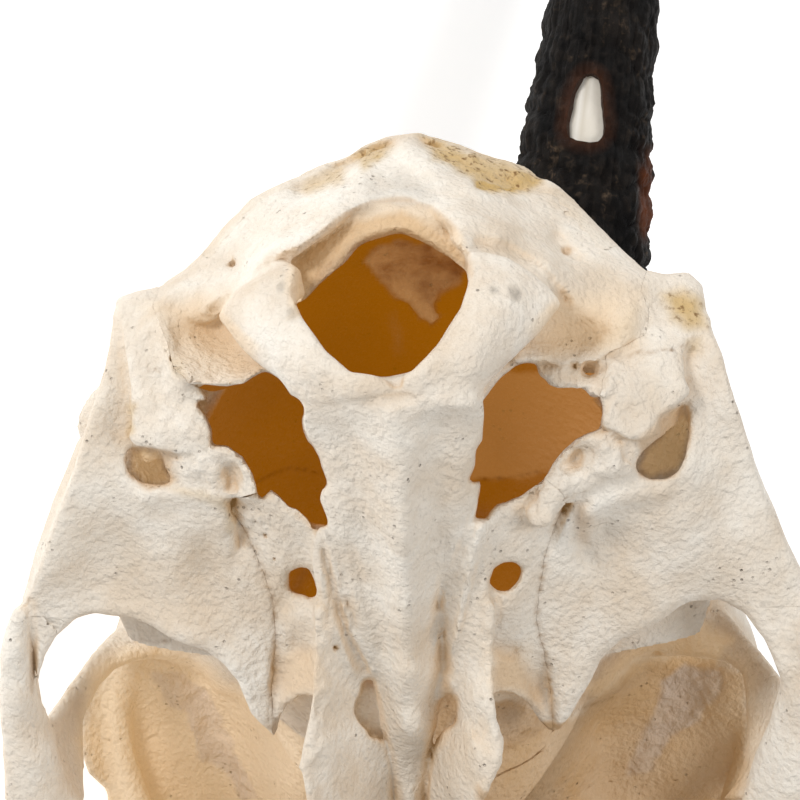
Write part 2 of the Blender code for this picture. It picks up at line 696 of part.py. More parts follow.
def thinned(bone, ratio):
    """Fuses the bone anew, which rounds its sutures, and keeps only the triangles it needs."""
    fuse = bone.modifiers.new("fuse", "REMESH")
    fuse.mode = "VOXEL"
    fuse.voxel_size = BONE_VOXEL * MM
    bake(bone)
    keep_largest(bone)
    thin = bone.modifiers.new("thin", "DECIMATE")
    thin.ratio = ratio + LEAST_TRIANGLES / triangles(bone)
    bake(bone)


def copied(obj, name):
    twin = obj.copy()
    twin.data = obj.data.copy()
    twin.name = name
    bpy.context.scene.collection.objects.link(twin)
    return twin


def box_of(obj):
    return [(min(v.co[a] for v in obj.data.vertices), max(v.co[a] for v in obj.data.vertices))
            for a in range(3)]


def clear_of_each_other(bones):
    """Where thinning made two bones meet, the later one is cut back from the other."""
    for i, first in enumerate(bones):
        for second in bones[i + 1:]:
            if any(a[1] < b[0] or b[1] < a[0] for a, b in zip(box_of(first), box_of(second))):
                continue
            common = boolean(copied(first, "common"), second, "INTERSECT")
            meet = len(common.data.vertices) > 0
            bpy.data.objects.remove(common)
            if not meet:
                continue
            cutter = copied(first, "cutter")
            grow = cutter.modifiers.new("grow", "DISPLACE")
            grow.strength = MEETING_CUT * MM
            grow.mid_level = 0
            bake(cutter)
            carve(second, [cutter])


def part_bones(whole):
    """Saws the paired bones apart down the middle, then takes the bones off one by one."""
    saw = prism("saw", MIDLINE, -SUTURE_GAP / 2, SUTURE_GAP / 2, 0)
    carve(whole, [saw])
    bones = []
    for name, outline, low, high, paired in BONES:
        for side in (SIDES if paired else (0,)):
            span = (low, high)
            wide = (low - SUTURE_GAP, high) if low > 0 else (low, high)
            label = name
            if paired:
                span, wide = [(a, b) if side > 0 else (-b, -a) for a, b in (span, wide)]
                label = f"{name}_{'right' if side > 0 else 'left'}"
            region = prism("region", outline, *span, 0)
            bone = boolean(copied(whole, label), region, "INTERSECT")
            bpy.data.objects.remove(region)
            region = prism("region", outline, *wide, SUTURE_GAP)
            boolean(whole, region, "DIFFERENCE")
            bpy.data.objects.remove(region)
            keep_largest(bone)
            bones.append(bone)
    bpy.data.objects.remove(whole)
    return bones


for obj in list(bpy.data.objects):
    bpy.data.objects.remove(obj)

bulk = clay("bulk", bulk_parts(), BULK_VOXEL, 8)
carve(bulk, [temporal_hollow(side) for side in SIDES])
skull = clay("skull", [bulk] + crisp_parts(), FINE_VOXEL, 3)
carve(skull, openings())
skull = clay("skull", [skull], FINE_VOXEL, 1)
bones = part_bones(skull)
for bone in bones:
    thinned(bone, THINNING)
by_name = {bone.name: bone for bone in bones}

sheath, bore = horn_sheath()
sheath.name = "horn_sheath_right"
carve(sheath, [bore, window()])
carve(by_name["frontal_right"], [horn_seat()])
unite(by_name["frontal_right"], [horn_core(CORE_LENGTH, 1)])
unite(by_name["frontal_left"], [horn_core(BROKEN_CORE_LENGTH, -1)])
unite(by_name["maxilla_right"], cheek_teeth(1))
unite(by_name["maxilla_left"], cheek_teeth(-1))
clear_of_each_other(bones)
bones.append(sheath)

turn = rest_turn()
floor = lowest_contact(bones, turn)
for bone in bones:
    wear_flat(bone, turn, floor)
    keep_largest(bone)
    finish_bone(bone)

rest = bpy.data.objects.new("skull_at_rest", None)
rest.matrix_world = rest_place(bones, turn, floor)
bpy.context.scene.collection.objects.link(rest)
for bone in bones:
    bone.parent = rest
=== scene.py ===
# %% [markdown]
# # The skull of a common duiker
#
# A cranium without its lower jaw lies turned over, resting on its left brow, its nose and the tip
# of its one horn. Bone has almost no flat faces and no repeated profile, so it is modelled here the
# way a sculptor works in wax: masses are pressed together until they flow into each other, hollows
# are scooped out, and only then is the whole sawn into its bones.

# %% The frame and the tools
import random
from math import pi, radians

import bmesh
import bpy
import numpy as np
from mathutils import Matrix, Vector


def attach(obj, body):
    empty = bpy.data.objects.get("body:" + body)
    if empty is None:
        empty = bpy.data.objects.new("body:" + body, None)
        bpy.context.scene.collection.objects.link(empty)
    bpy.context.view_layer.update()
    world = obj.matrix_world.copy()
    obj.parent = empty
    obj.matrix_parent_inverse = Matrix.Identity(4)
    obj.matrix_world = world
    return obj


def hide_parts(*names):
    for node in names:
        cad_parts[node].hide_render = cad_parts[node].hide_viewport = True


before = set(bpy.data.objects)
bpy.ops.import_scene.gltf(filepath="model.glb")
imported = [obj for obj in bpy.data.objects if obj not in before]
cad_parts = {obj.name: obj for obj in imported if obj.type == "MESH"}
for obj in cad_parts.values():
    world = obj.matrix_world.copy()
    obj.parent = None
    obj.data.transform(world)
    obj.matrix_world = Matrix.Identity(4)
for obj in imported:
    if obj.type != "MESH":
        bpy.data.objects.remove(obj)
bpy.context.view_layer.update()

MM = 0.001
SIDES = (-1, 1)
print("nodes to dress:", len(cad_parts))

# %% [markdown]
# ## The skull's own frame
#
# Measures are easiest in the skull's own frame: millimetres from the front rim of the great hole,
# x to the animal's right, y towards the nose, z towards the crown. The skull lies turned over, so a
# rotation and a shift bring each finished point into the room, the same as in the source.

# %% From the skull's frame to the room
REST_UP = (0.525, -0.431, -0.734)
REST_AHEAD = (0.803, 0.537, 0.259)
REST_SHIFT = (-11.582, -38.164, 80.638)

room_up = Vector(REST_UP).normalized()
room_ahead = Vector(REST_AHEAD)
room_ahead = (room_ahead - room_up * room_ahead.dot(room_up)).normalized()
TURN = np.array(Matrix((room_ahead.cross(room_up), room_ahead, room_up)))
SHIFT = np.array(REST_SHIFT)


def unit(vector):
    vector = np.array(vector, float)
    return vector / np.linalg.norm(vector)


def to_room(points):
    """Skull millimetres to room metres; nothing sinks under the floor."""
    placed = (np.asarray(points) @ TURN.T + SHIFT) * MM
    placed[..., 2] = np.maximum(placed[..., 2], 0)
    return placed


print("crown points", "down" if TURN[2][2] < 0 else "up")

# %% [markdown]
# ## The camera
#
# The camera stands behind and below the skull, as it would be held, about half a metre off with a
# long lens. Its place was found from points that can be named in both the photograph and the skull:
# the condyles, the ear openings, the horn's base. It is kept in the skull's frame, because outlines
# of broken edges are drawn below as they are seen from it.

# %% The camera's place
EYE = np.array((26.015, -306.355, -368.614))
LOOK = np.array((-0.0523, 0.6419, 0.765))
EYE_RIGHT = np.array((0.9985, 0.047, 0.0289))
FOCAL = 5136
FRAME_SIZE = 800
SENSOR = 36

LOOK = unit(LOOK)
EYE_RIGHT = unit(EYE_RIGHT - LOOK * (EYE_RIGHT @ LOOK))
EYE_UP = np.cross(EYE_RIGHT, LOOK)

camera = bpy.data.cameras.new("camera")
camera.sensor_width = SENSOR
camera.lens = FOCAL * SENSOR / FRAME_SIZE
camera.clip_start = 0.01
camera.clip_end = 20
eye = bpy.data.objects.new("camera", camera)
bpy.context.scene.collection.objects.link(eye)
axes = np.stack([TURN @ EYE_RIGHT, TURN @ EYE_UP, -(TURN @ LOOK)], axis=1)
place = Matrix(axes.tolist()).to_4x4()
place.translation = Vector((TURN @ EYE + SHIFT) * MM)
eye.matrix_world = place
bpy.context.scene.camera = eye
print("camera", [round(v, 3) for v in place.translation], "lens", round(camera.lens, 1))

# %% [markdown]
# ## Wax in small cubes
#
# The wax is a block of small cubes. Each cube holds its distance to the surface: below zero is
# bone, above zero is air. Joining two masses takes the smaller distance and scooping takes the
# larger one, and a soft minimum fills the seam between them with a fillet, as bone does.

# %% Soft joins and the block of wax
def soft_min(a, b, blend):
    low = np.minimum(a, b)
    if blend <= 0:
        return low
    near = np.maximum(blend - np.abs(a - b), 0)
    return low - near * near / (4 * blend)


class Wax:
    """Distances to the surface, in millimetres, on a grid of small cubes."""

    def __init__(self, low, high, cube):
        self.cube = cube
        self.low = np.array(low, float)
        counts = np.ceil((np.array(high) - self.low) / cube).astype(int) + 1
        self.axes = [(self.low[a] + cube * np.arange(counts[a])).astype(np.float32)
                     for a in range(3)]
        self.far = np.full(counts, 9, np.float32)

    def window(self, low, high, reach):
        cut = []
        for a in range(3):
            first = int(np.floor((low[a] - reach - self.low[a]) / self.cube))
            last = int(np.ceil((high[a] + reach - self.low[a]) / self.cube)) + 1
            cut.append(slice(max(0, first), max(0, last)))
        x, y, z = (self.axes[a][cut[a]] for a in range(3))
        return tuple(cut), x[:, None, None], y[None, :, None], z[None, None, :]

    def add(self, shapes, blend):
        for low, high, distance in shapes:
            cut, x, y, z = self.window(low, high, blend + 1.5)
            if self.far[cut].size:
                self.far[cut] = soft_min(self.far[cut], distance(x, y, z), blend)

    def scoop(self, shapes, blend):
        for low, high, distance in shapes:
            cut, x, y, z = self.window(low, high, blend + 1.5)
            if self.far[cut].size:
                self.far[cut] = -soft_min(-self.far[cut], distance(x, y, z), blend)


# %% [markdown]
# ## The sculptor's vocabulary
#
# A handful of shapes is enough: a rod between two balls, an egg, a tube with oval sections, a hull
# over a few points, and a flake, which is a triangle of bone with a thickness. Each is described by
# the box that it fills and by a rule for the distance to it.

# %% Rods, eggs and tubes
def box_round(points, reach):
    points = np.array(points, float)
    return points.min(0) - reach, points.max(0) + reach


def along(x, y, z, a, b):
    """How far each cube lies along the line from a to b, from 0 to 1."""
    b = np.array(b, float) - a
    t = ((x - a[0]) * b[0] + (y - a[1]) * b[1] + (z - a[2]) * b[2]) / (b @ b)
    return np.clip(t, 0, 1), b


def rod(a, b, ra, rb):
    def distance(x, y, z):
        t, ab = along(x, y, z, a, b)
        far = ((x - a[0] - t * ab[0]) ** 2 + (y - a[1] - t * ab[1]) ** 2
               + (z - a[2] - t * ab[2]) ** 2)
        return np.sqrt(far) - (ra + (rb - ra) * t)
    return (*box_round([a, b], max(ra, rb)), distance)


def union(shapes, soft=0.0):
    """Several shapes as one, so that a blend doesn't thicken them where they overlap."""
    low = np.min([shape[0] for shape in shapes], axis=0)
    high = np.max([shape[1] for shape in shapes], axis=0)

    def distance(x, y, z):
        far = shapes[0][2](x, y, z)
        for shape in shapes[1:]:
            far = soft_min(far, shape[2](x, y, z), soft)
        return far
    return low, high, distance


def smooth_line(stations, steps=4):
    """Rows of numbers along a bent line, with more rows between them on a smooth curve."""
    rows = np.array([np.hstack([np.ravel(part) for part in row]) for row in stations], float)
    ends = np.vstack([2 * rows[0] - rows[1], rows, 2 * rows[-1] - rows[-2]])
    made = []
    for k in range(len(rows) - 1):
        a, b, c, d = ends[k:k + 4]
        for t in np.arange(steps) / steps:
            made.append(0.5 * (2 * b + (c - a) * t + (2 * a - 5 * b + 4 * c - d) * t * t
                               + (3 * b - 3 * c + d - a) * t ** 3))
    return np.array(made + [rows[-1]])


def rods(balls, steps=4):
    """A smooth bent rod through balls of (centre, radius)."""
    rows = smooth_line(balls, steps)
    return [union([rod(a[:3], b[:3], a[3], b[3]) for a, b in zip(rows, rows[1:])])]


def egg(centre, radii):
    def distance(x, y, z):
        p = (x - centre[0], y - centre[1], z - centre[2])
        k0 = np.sqrt(sum((p[k] / radii[k]) ** 2 for k in range(3)))
        k1 = np.sqrt(sum((p[k] / radii[k] ** 2) ** 2 for k in range(3)))
        return k0 * (k0 - 1) / np.maximum(k1, 1e-6)
    return (*box_round([centre], max(radii)), distance)


def tube(stations):
    """Oval sections of (centre, half width, half height), joined along their centres."""
    made = []
    rows = [(row[:3], row[3], row[4]) for row in smooth_line(stations, 3)]
    for (a, wa, ha), (b, wb, hb) in zip(rows, rows[1:]):
        ahead = unit(np.array(b, float) - a)
        wide = unit(np.cross(ahead, (0, 0, 1)))
        high = np.cross(wide, ahead)

        def distance(x, y, z, a=a, b=b, wa=wa, wb=wb, ha=ha, hb=hb, wide=wide, high=high):
            t, ab = along(x, y, z, a, b)
            q = (x - a[0] - t * ab[0], y - a[1] - t * ab[1], z - a[2] - t * ab[2])
            w, h = wa + (wb - wa) * t, ha + (hb - ha) * t
            qw = q[0] * wide[0] + q[1] * wide[1] + q[2] * wide[2]
            qh = q[0] * high[0] + q[1] * high[1] + q[2] * high[2]
            rest = np.maximum(q[0] ** 2 + q[1] ** 2 + q[2] ** 2 - qw ** 2 - qh ** 2, 0)
            thin = np.minimum(w, h)
            return (np.sqrt((qw / w) ** 2 + (qh / h) ** 2 + rest / thin ** 2) - 1) * thin
        made.append((*box_round([a, b], max(wa, wb, ha, hb)), distance))
    return [union(made)]


# %% Hulls and flakes
def hull(points, radius, soft=1.0):
    """The convex hull of points, grown by radius, with soft edges."""
    points = np.array(points, float)
    middle = points.mean(0)
    _, sizes, directions = np.linalg.svd(points - middle)
    if sizes[2] < 0.5:
        points = np.concatenate([points - 0.3 * directions[2], points + 0.3 * directions[2]])
    bm = bmesh.new()
    for p in points:
        bm.verts.new(p)
    bmesh.ops.convex_hull(bm, input=bm.verts)
    bm.normal_update()
    planes = []
    for face in bm.faces:
        n = np.array(face.normal)
        c = float(n @ np.array(face.verts[0].co))
        if n @ middle > c:
            n, c = -n, -c
        if all(n @ m < 0.999 or abs(c - d) > 0.01 for m, d in planes):
            planes.append((n, c))
    bm.free()

    def distance(x, y, z):
        far = None
        for n, c in planes:
            side = n[0] * x + n[1] * y + n[2] * z - c
            far = side if far is None else -soft_min(-far, -side, soft)
        return far - radius
    return (*box_round(points, radius), distance)


def flake(a, b, c, radius):
    """A triangle of bone, twice the radius thick, with round edges."""
    a, b, c = (np.array(p, float) for p in (a, b, c))
    n = unit(np.cross(b - a, c - a))

    def distance(x, y, z):
        level = (x - a[0]) * n[0] + (y - a[1]) * n[1] + (z - a[2]) * n[2]
        inside = None
        far = None
        for p, q in ((a, b), (b, c), (c, a)):
            out = np.cross(q - p, n)
            beyond = (x - p[0]) * out[0] + (y - p[1]) * out[1] + (z - p[2]) * out[2]
            inside = beyond <= 0 if inside is None else inside & (beyond <= 0)
            t, pq = along(x, y, z, p, q)
            edge = ((x - p[0] - t * pq[0]) ** 2 + (y - p[1] - t * pq[1]) ** 2
                    + (z - p[2] - t * pq[2]) ** 2)
            far = edge if far is None else np.minimum(far, edge)
        return np.where(inside, np.abs(level), np.sqrt(far)) - radius
    return (*box_round([a, b, c], radius), distance)


def flakes(points, corners, radius, soft=0.5):
    return [union([flake(*(points[k] for k in corner), radius) for corner in corners], soft)]


def mirrored(side, points):
    """The same points on the given side of the skull."""
    return [(p[0] * side, p[1], p[2]) for p in points]


def balls(side, rows):
    """Balls of (x, y, z, radius) on the given side, for rods."""
    return [((x * side, y, z), r) for x, y, z, r in rows]


# %% [markdown]
# ## Outlines as they are seen
#
# Only one photograph shows this skull, so its near side is modelled as it is seen: a sheet of bone
# gets an outline in pixels of the frame, and a depth at the points that matter. Between them the
# sheet bends as a thin steel plate would. Everything is worked out once on a coarse raster of the
# picture and then read off for each cube of wax, since all cubes on one line of sight share it.

# %% Noise, and where things fall in the picture
def lattice(i, j, k, seed):
    """A fixed random number from 0 to 1 for each whole-numbered point."""
    h = (i * 374761393 + j * 668265263 + k * 2147483647 + seed * 974634777).astype(np.uint32)
    h = (h ^ (h >> np.uint32(13))) * np.uint32(1274126177)
    return ((h ^ (h >> np.uint32(16))) & np.uint32(0xFFFF)).astype(np.float32) / 65535


def noise(x, y, z, size, seed):
    """Smooth lumps about the given size across, from -1 to 1."""
    x, y, z = (np.asarray(v, np.float32) / size for v in (x, y, z))
    i, j, k = (np.floor(v).astype(np.int64) for v in (x, y, z))
    u, v, w = (t * t * (3 - 2 * t) for t in (x - i, y - j, z - k))
    total = 0
    for di in (0, 1):
        for dj in (0, 1):
            for dk in (0, 1):
                share = ((u if di else 1 - u) * (v if dj else 1 - v) * (w if dk else 1 - w))
                total = total + share * lattice(i + di, j + dj, k + dk, seed)
    return total * 2 - 1


def seen(x, y, z):
    """Where points fall in the picture, and how many pixels a millimetre takes there."""
    q = (x - EYE[0], y - EYE[1], z - EYE[2])
    deep = q[0] * LOOK[0] + q[1] * LOOK[1] + q[2] * LOOK[2]
    per_mm = FOCAL / deep
    right = q[0] * EYE_RIGHT[0] + q[1] * EYE_RIGHT[1] + q[2] * EYE_RIGHT[2]
    up = q[0] * EYE_UP[0] + q[1] * EYE_UP[1] + q[2] * EYE_UP[2]
    middle = FRAME_SIZE / 2
    return middle + right * per_mm, middle - up * per_mm, per_mm


def spot(px, py, y):
    """The point that falls on a place in the picture and lies at a given y."""
    middle = FRAME_SIZE / 2
    ahead = LOOK + EYE_RIGHT * (px - middle) / FOCAL + EYE_UP * (middle - py) / FOCAL
    return EYE + ahead * (y - EYE[1]) / ahead[1]


def box_distance(x, y, z, low, high):
    return np.maximum(np.maximum(np.maximum(low[0] - x, x - high[0]),
                                 np.maximum(low[1] - y, y - high[1])),
                      np.maximum(low[2] - z, z - high[2]))


# %% A raster of the picture, and shapes read off it
RASTER_LOW, RASTER_STEP, RASTER_COUNT = -140, 2.0, 640
PIXELS_PER_MM = 10.7
STIFFNESS = 0.4
raster_u = RASTER_LOW + RASTER_STEP * np.arange(RASTER_COUNT)[:, None]
raster_v = RASTER_LOW + RASTER_STEP * np.arange(RASTER_COUNT)[None, :]


def read_off(field, u, v):
    a = np.clip((u - RASTER_LOW) / RASTER_STEP, 0, RASTER_COUNT - 1.01)
    b = np.clip((v - RASTER_LOW) / RASTER_STEP, 0, RASTER_COUNT - 1.01)
    i, j = a.astype(np.int32), b.astype(np.int32)
    s, t = a - i, b - j
    return ((field[i, j] * (1 - s) + field[i + 1, j] * s) * (1 - t)
            + (field[i, j + 1] * (1 - s) + field[i + 1, j + 1] * s) * t)


def polygon_distance(u, v, outline):
    """Signed distance to a polygon in the plane, below zero inside."""
    far, inside = None, None
    for (ax, ay), (bx, by) in zip(outline, outline[1:] + outline[:1]):
        ex, ey = bx - ax, by - ay
        wx, wy = u - ax, v - ay
        t = np.clip((wx * ex + wy * ey) / max(ex * ex + ey * ey, 1e-9), 0, 1)
        edge = (wx - ex * t) ** 2 + (wy - ey * t) ** 2
        far = edge if far is None else np.minimum(far, edge)
        crosses = ((ay <= v) != (by <= v)) & (
            (u < ax + ex * (v - ay) / (ey if abs(ey) > 1e-9 else 1e-9)))
        inside = crosses if inside is None else inside ^ crosses
    return np.where(inside, -1, 1) * np.sqrt(far)


def outline_field(outline, fray=0.0, seed=1):
    """Millimetres to an outline on the raster, with an edge that wanders by the fray."""
    flat = polygon_distance(raster_u, raster_v, [tuple(p[:2]) for p in outline]) / PIXELS_PER_MM
    if fray:
        flat = flat + fray * (noise(raster_u, raster_v, 0, 13, seed)
                              + 0.6 * noise(raster_u, raster_v, 0, 6, seed + 1))
    return flat.astype(np.float32)


def line_field(line):
    """Millimetres to a bent line on the raster."""
    away = None
    for (ax, ay), (bx, by) in zip(line, line[1:]):
        ex, ey = bx - ax, by - ay
        t = np.clip(((raster_u - ax) * ex + (raster_v - ay) * ey) / (ex * ex + ey * ey), 0, 1)
        here = (raster_u - ax - ex * t) ** 2 + (raster_v - ay - ey * t) ** 2
        away = here if away is None else np.minimum(away, here)
    return (np.sqrt(away) / PIXELS_PER_MM).astype(np.float32)


def depth_field(spots):
    """How deep the sheet through spots (px, py, y) lies behind the lens, on the raster."""
    spots = np.array(spots, float)
    deep = np.array([(spot(*row) - EYE) @ LOOK for row in spots])
    flat = spots[:, :2] / PIXELS_PER_MM
    count = len(flat)
    apart = ((flat[:, None] - flat[None]) ** 2).sum(-1)
    system = np.zeros((count + 3, count + 3))
    system[:count, :count] = apart * np.log(apart + 1e-6) / 2 + STIFFNESS * np.eye(count)
    system[:count, count:] = np.column_stack([np.ones(count), flat])
    system[count:, :count] = system[:count, count:].T
    weights = np.linalg.solve(system, np.append(deep, np.zeros(3)))
    u = (raster_u / PIXELS_PER_MM).astype(np.float32)
    v = (raster_v / PIXELS_PER_MM).astype(np.float32)
    level = weights[count] + weights[count + 1] * u + weights[count + 2] * v
    for (cu, cv), weight in zip(flat, weights):
        apart = (u - cu) ** 2 + (v - cv) ** 2 + 1e-6
        level = level + weight / 2 * apart * np.log(apart)
    return level.astype(np.float32)


def sheet(outline, inner, thick, edge=0.5, fray=0.0, bumps=0.0, seed=1):
    """A sheet of bone through points (px, py, y) on its outline and inside it."""
    level = depth_field(outline + inner)
    if bumps:
        level = level + bumps * (noise(raster_u, raster_v, 0, 19, seed)
                                 + 0.6 * noise(raster_u, raster_v, 0, 9, seed + 1))
    rise = np.gradient(level, RASTER_STEP / PIXELS_PER_MM)
    steep = np.sqrt(1 + rise[0] ** 2 + rise[1] ** 2)
    rim = outline_field(outline, fray, seed + 2)
    corners = np.array([spot(*row) for row in outline + inner])

    def distance(x, y, z):
        u, v, per_mm = seen(x, y, z)
        near = (read_off(level, u, v) - FOCAL / per_mm) / read_off(steep, u, v)
        slab = np.maximum(near, -near - thick)
        return -soft_min(-slab, -read_off(rim, u, v), edge)
    return corners.min(0) - 1.5, corners.max(0) + thick + 1.5, distance


def pit(outline, inner, lift, deep, edge=0.8):
    """The room of a hollow: from a lift above the sheet through the spots down to its depth."""
    low, high, distance = sheet(outline, inner, deep + lift, edge)
    shift = LOOK * lift

    def moved(x, y, z):
        return distance(x + shift[0], y + shift[1], z + shift[2])
    return low - lift, high + deep, moved


def swept(outline, low, high, fray=0.1, seed=1):
    """What the outline hides from the camera, between two corners of the skull's frame."""
    rim = outline_field(outline, fray, seed)

    def distance(x, y, z):
        u, v, _ = seen(x, y, z)
        return np.maximum(read_off(rim, u, v), box_distance(x, y, z, low, high))
    return np.array(low, float), np.array(high, float), distance


def scrape(wax, line, wide, deep, low, high):
    """Draws a groove, or with a negative depth a ridge, along a line as it is seen."""
    cut, x, y, z = wax.window(low, high, 0)
    u, v, _ = seen(x, y, z)
    profile = deep * np.exp(-(line_field(line) / wide) ** 2)
    wax.far[cut] += read_off(profile, u, v)


print("raster", raster_u.size, "by", raster_v.size)

# %% [markdown]
# ## The braincase and the back of the skull
#
# The braincase is an egg with a smaller one in front of it. Behind it stands the shield where the
# neck muscles held on, with its blunt ridges and its crest, which makes the outline from behind.
# Below it the two condyles, smooth as a polished stone, flank the great hole.

# %% Vault and shield
HORN_BASE = (13.4, 52, 47)
HORN_AXIS = (0.12, -0.57, 0.81)
VAULT_CENTRE = (0, 33.3, 25.6)
VAULT_RADII = (27.0, 33.6, 20.2)
VAULT_WALL = 2.0
FOREHEAD = (((0, 60, 33), (20.5, 23, 17)), ((0, 60, 24), (15, 20, 16)))
FRONT_ROOM = ((0, 58, 28.5), (14, 13.5, 13))

SHIELD = [(116, 318, 9.2), (118, 300, 8.6), (140, 293, 8.4), (160, 287, 8.2), (185, 270, 7.4),
          (205, 250, 6.8), (228, 222, 6.2), (250, 200, 5.8), (290, 178, 5.2), (320, 165, 4.8),
          (345, 157, 4.4), (365, 144, 3.8), (385, 137, 3.2), (405, 134, 2.6), (418, 132, 2.5),
          (430, 137, 2.8), (460, 144, 3.6), (483, 154, 4.2), (520, 165, 4.9), (548, 177, 5.4),
          (575, 199, 6.0), (600, 228, 6.8), (625, 254, 7.4), (645, 270, 8.2), (662, 274, 8.6),
          (688, 273, 9.0), (702, 286, 9.4), (708, 322, 10.2), (690, 345, 10.4), (640, 345, 9.6),
          (600, 320, 7.6), (560, 305, 4.4), (520, 290, 2.6), (478, 280, -0.6), (470, 262, -3.0),
          (445, 234, -3.6), (425, 218, -3.8), (402, 210, -3.8), (375, 213, -3.8), (350, 224, -3.8),
          (325, 243, -3.6), (294, 264, -3.2), (285, 290, 0.4), (240, 305, 3.4), (215, 318, 5.0),
          (180, 320, 7.0), (150, 330, 8.6)]
SHIELD_INNER = [
    (405, 148, 1.5), (430, 174, 0.0), (460, 204, -1.2), (500, 235, -0.9), (545, 268, 1.6),
    (398, 178, 1.5), (375, 188, 1.0), (425, 188, 0.9), (400, 198, -1.6), (447, 213, -1.6),
    (352, 205, -1.2), (485, 190, 1.7), (520, 214, 2.9), (548, 236, 4.0), (570, 262, 4.6),
    (592, 258, 5.8), (600, 288, 6.4), (622, 280, 7.0), (575, 290, 5.0), (365, 175, 0.4),
    (335, 204, -0.9), (300, 235, -0.9), (266, 261, 0.2), (330, 182, 2.2), (300, 203, 2.6),
    (270, 222, 3.3), (243, 248, 4.3), (226, 272, 5.0), (200, 284, 6.4), (256, 242, 3.4),
    (480, 246, -1.4), (513, 253, 0.6), (662, 300, 9.6), (684, 310, 9.8), (645, 305, 8.6)]


def vault(wax):
    wax.add([egg(VAULT_CENTRE, VAULT_RADII)], 0)
    wax.add([egg(centre, radii) for centre, radii in FOREHEAD], 6)


def shield(wax):
    wax.add([sheet(SHIELD, SHIELD_INNER, 3.0, 1.6, bumps=0.10, seed=71)], 1.2)


# %% Condyles
CONDYLES = (
    ([(466, 262, -2.9), (472, 252, -3.1), (487, 251, -2.8), (507, 257, -2.2), (530, 270, -1.2),
      (550, 285, -0.2), (563, 300, 0.6), (562, 304, 0.9), (552, 315, 1.0), (540, 330, 1.4),
      (520, 350, 2.0), (495, 375, 2.8), (482, 390, 3.6), (476, 404, 4.2), (455, 404, 3.4),
      (430, 398, 2.6), (400, 392, 1.6), (405, 365, -0.4), (430, 335, -1.2), (452, 300, -2.6),
      (460, 275, -3.1)],
     [(465, 300, -2.6), (430, 356, -1.0), (515, 285, -2.3), (490, 340, -1.0), (507, 310, -2.0),
      (480, 372, 1.0), (450, 376, 0.8), (490, 290, -2.9), (420, 380, 0.4)]),
    ([(292, 262, -3.0), (275, 267, -2.6), (260, 275, -2.0), (240, 286, -1.1), (222, 304, 0.1),
      (218, 315, 0.5), (221, 321, 0.8), (230, 332, 1.0), (240, 345, 1.4), (255, 360, 1.9),
      (275, 376, 2.6), (290, 392, 3.8), (318, 404, 3.6), (345, 400, 2.4), (400, 392, 1.6),
      (370, 366, -0.2), (345, 352, -0.9), (318, 318, -2.4), (305, 290, -3.1), (300, 270, -3.3)],
     [(297, 305, -2.6), (326, 354, -1.1), (262, 300, -2.3), (285, 342, -1.1), (268, 322, -1.8),
      (302, 374, 0.6), (330, 378, 0.5), (285, 290, -2.8), (360, 382, 0.4)]))


def condyles(wax):
    for outline, inner in CONDYLES:
        wax.add([sheet(outline, inner, 5.0, 0.7)], 0.5)


CONDYLE_NECK = [(-7.4, 6.4, 3.2), (7.2, 6.4, 3.2), (-4, 4.4, 1.6), (4, 4.4, 1.6), (-7, 10, 4.2),
                (7, 10, 4.2), (0, 4.4, 4)]


def neck_of_condyles(wax):
    wax.add([hull(CONDYLE_NECK, 1.5, 1.5)], 1.0)


# %% Hollows beside the condyles
LEFT_FOSSA = [(140, 300, 8.4), (157, 298, 7.0), (185, 285, 6.4), (222, 285, 4.4), (262, 285, 3.6),
              (300, 330, 6.2), (290, 372, 7.2), (266, 371, 7.2), (256, 377, 7.3), (243, 384, 7.5),
              (232, 386, 7.6), (225, 387, 7.5), (210, 386, 7.5), (197, 384, 7.4), (183, 382, 6.9),
              (172, 368, 7.2), (160, 335, 7.2)]
LEFT_FOSSA_INNER = [(175, 315, 7.0), (170, 340, 7.6), (200, 330, 8.9), (225, 345, 9.2),
                    (240, 365, 8.6), (215, 365, 8.5), (190, 358, 8.0), (205, 302, 6.6)]
RIGHT_FOSSA = [(530, 290, 3.0), (570, 290, 5.0), (600, 288, 6.4), (632, 298, 7.6), (644, 320, 8.6),
               (638, 336, 8.9), (622, 349, 9.1), (607, 356, 9.3), (596, 364, 9.4), (580, 368, 9.2),
               (560, 366, 8.8), (540, 362, 8.3), (515, 364, 7.8), (500, 340, 6.0)]
RIGHT_FOSSA_INNER = [(575, 318, 7.0), (560, 335, 8.2), (590, 335, 8.9), (612, 318, 7.0),
                     (628, 322, 7.4), (600, 345, 8.8), (540, 345, 8.0), (618, 338, 8.4)]
RIGHT_FRINGE = [(520, 358, 8.6), (545, 360, 9.0), (580, 362, 9.6), (606, 356, 9.8),
                (616, 372, 10.2), (612, 388, 10.8), (603, 399, 11.2), (592, 396, 11.2),
                (583, 388, 10.8), (570, 387, 10.6), (556, 388, 10.6), (550, 380, 10.2),
                (543, 376, 9.8), (536, 365, 9.2)]


def fossae(wax):
    wax.add([sheet(LEFT_FOSSA, LEFT_FOSSA_INNER, 2.4, 0.5, 0.06, 0.05, 81),
             sheet(RIGHT_FOSSA, RIGHT_FOSSA_INNER, 2.4, 0.6, 0.08, 0.12, 83)], 0.6)
    wax.add([sheet(RIGHT_FRINGE, [(575, 375, 10.4)], 1.8, 0.6, 0.22, 0.55, 85)], 0.4)


# %% [markdown]
# ## The sides: mastoid, ear and cheek root
#
# Outside the shield the temporal bone swells to the mastoid corner, carries the ear opening and
# spreads forwards as a broad, smooth shelf: the roof of the jaw joint. Its front edge is the margin
# of the temple opening, and its outer corner runs into the cheek arch. On top of it lies the broken
# plate of the ear bulb, and inside that the knobbly ear bone.

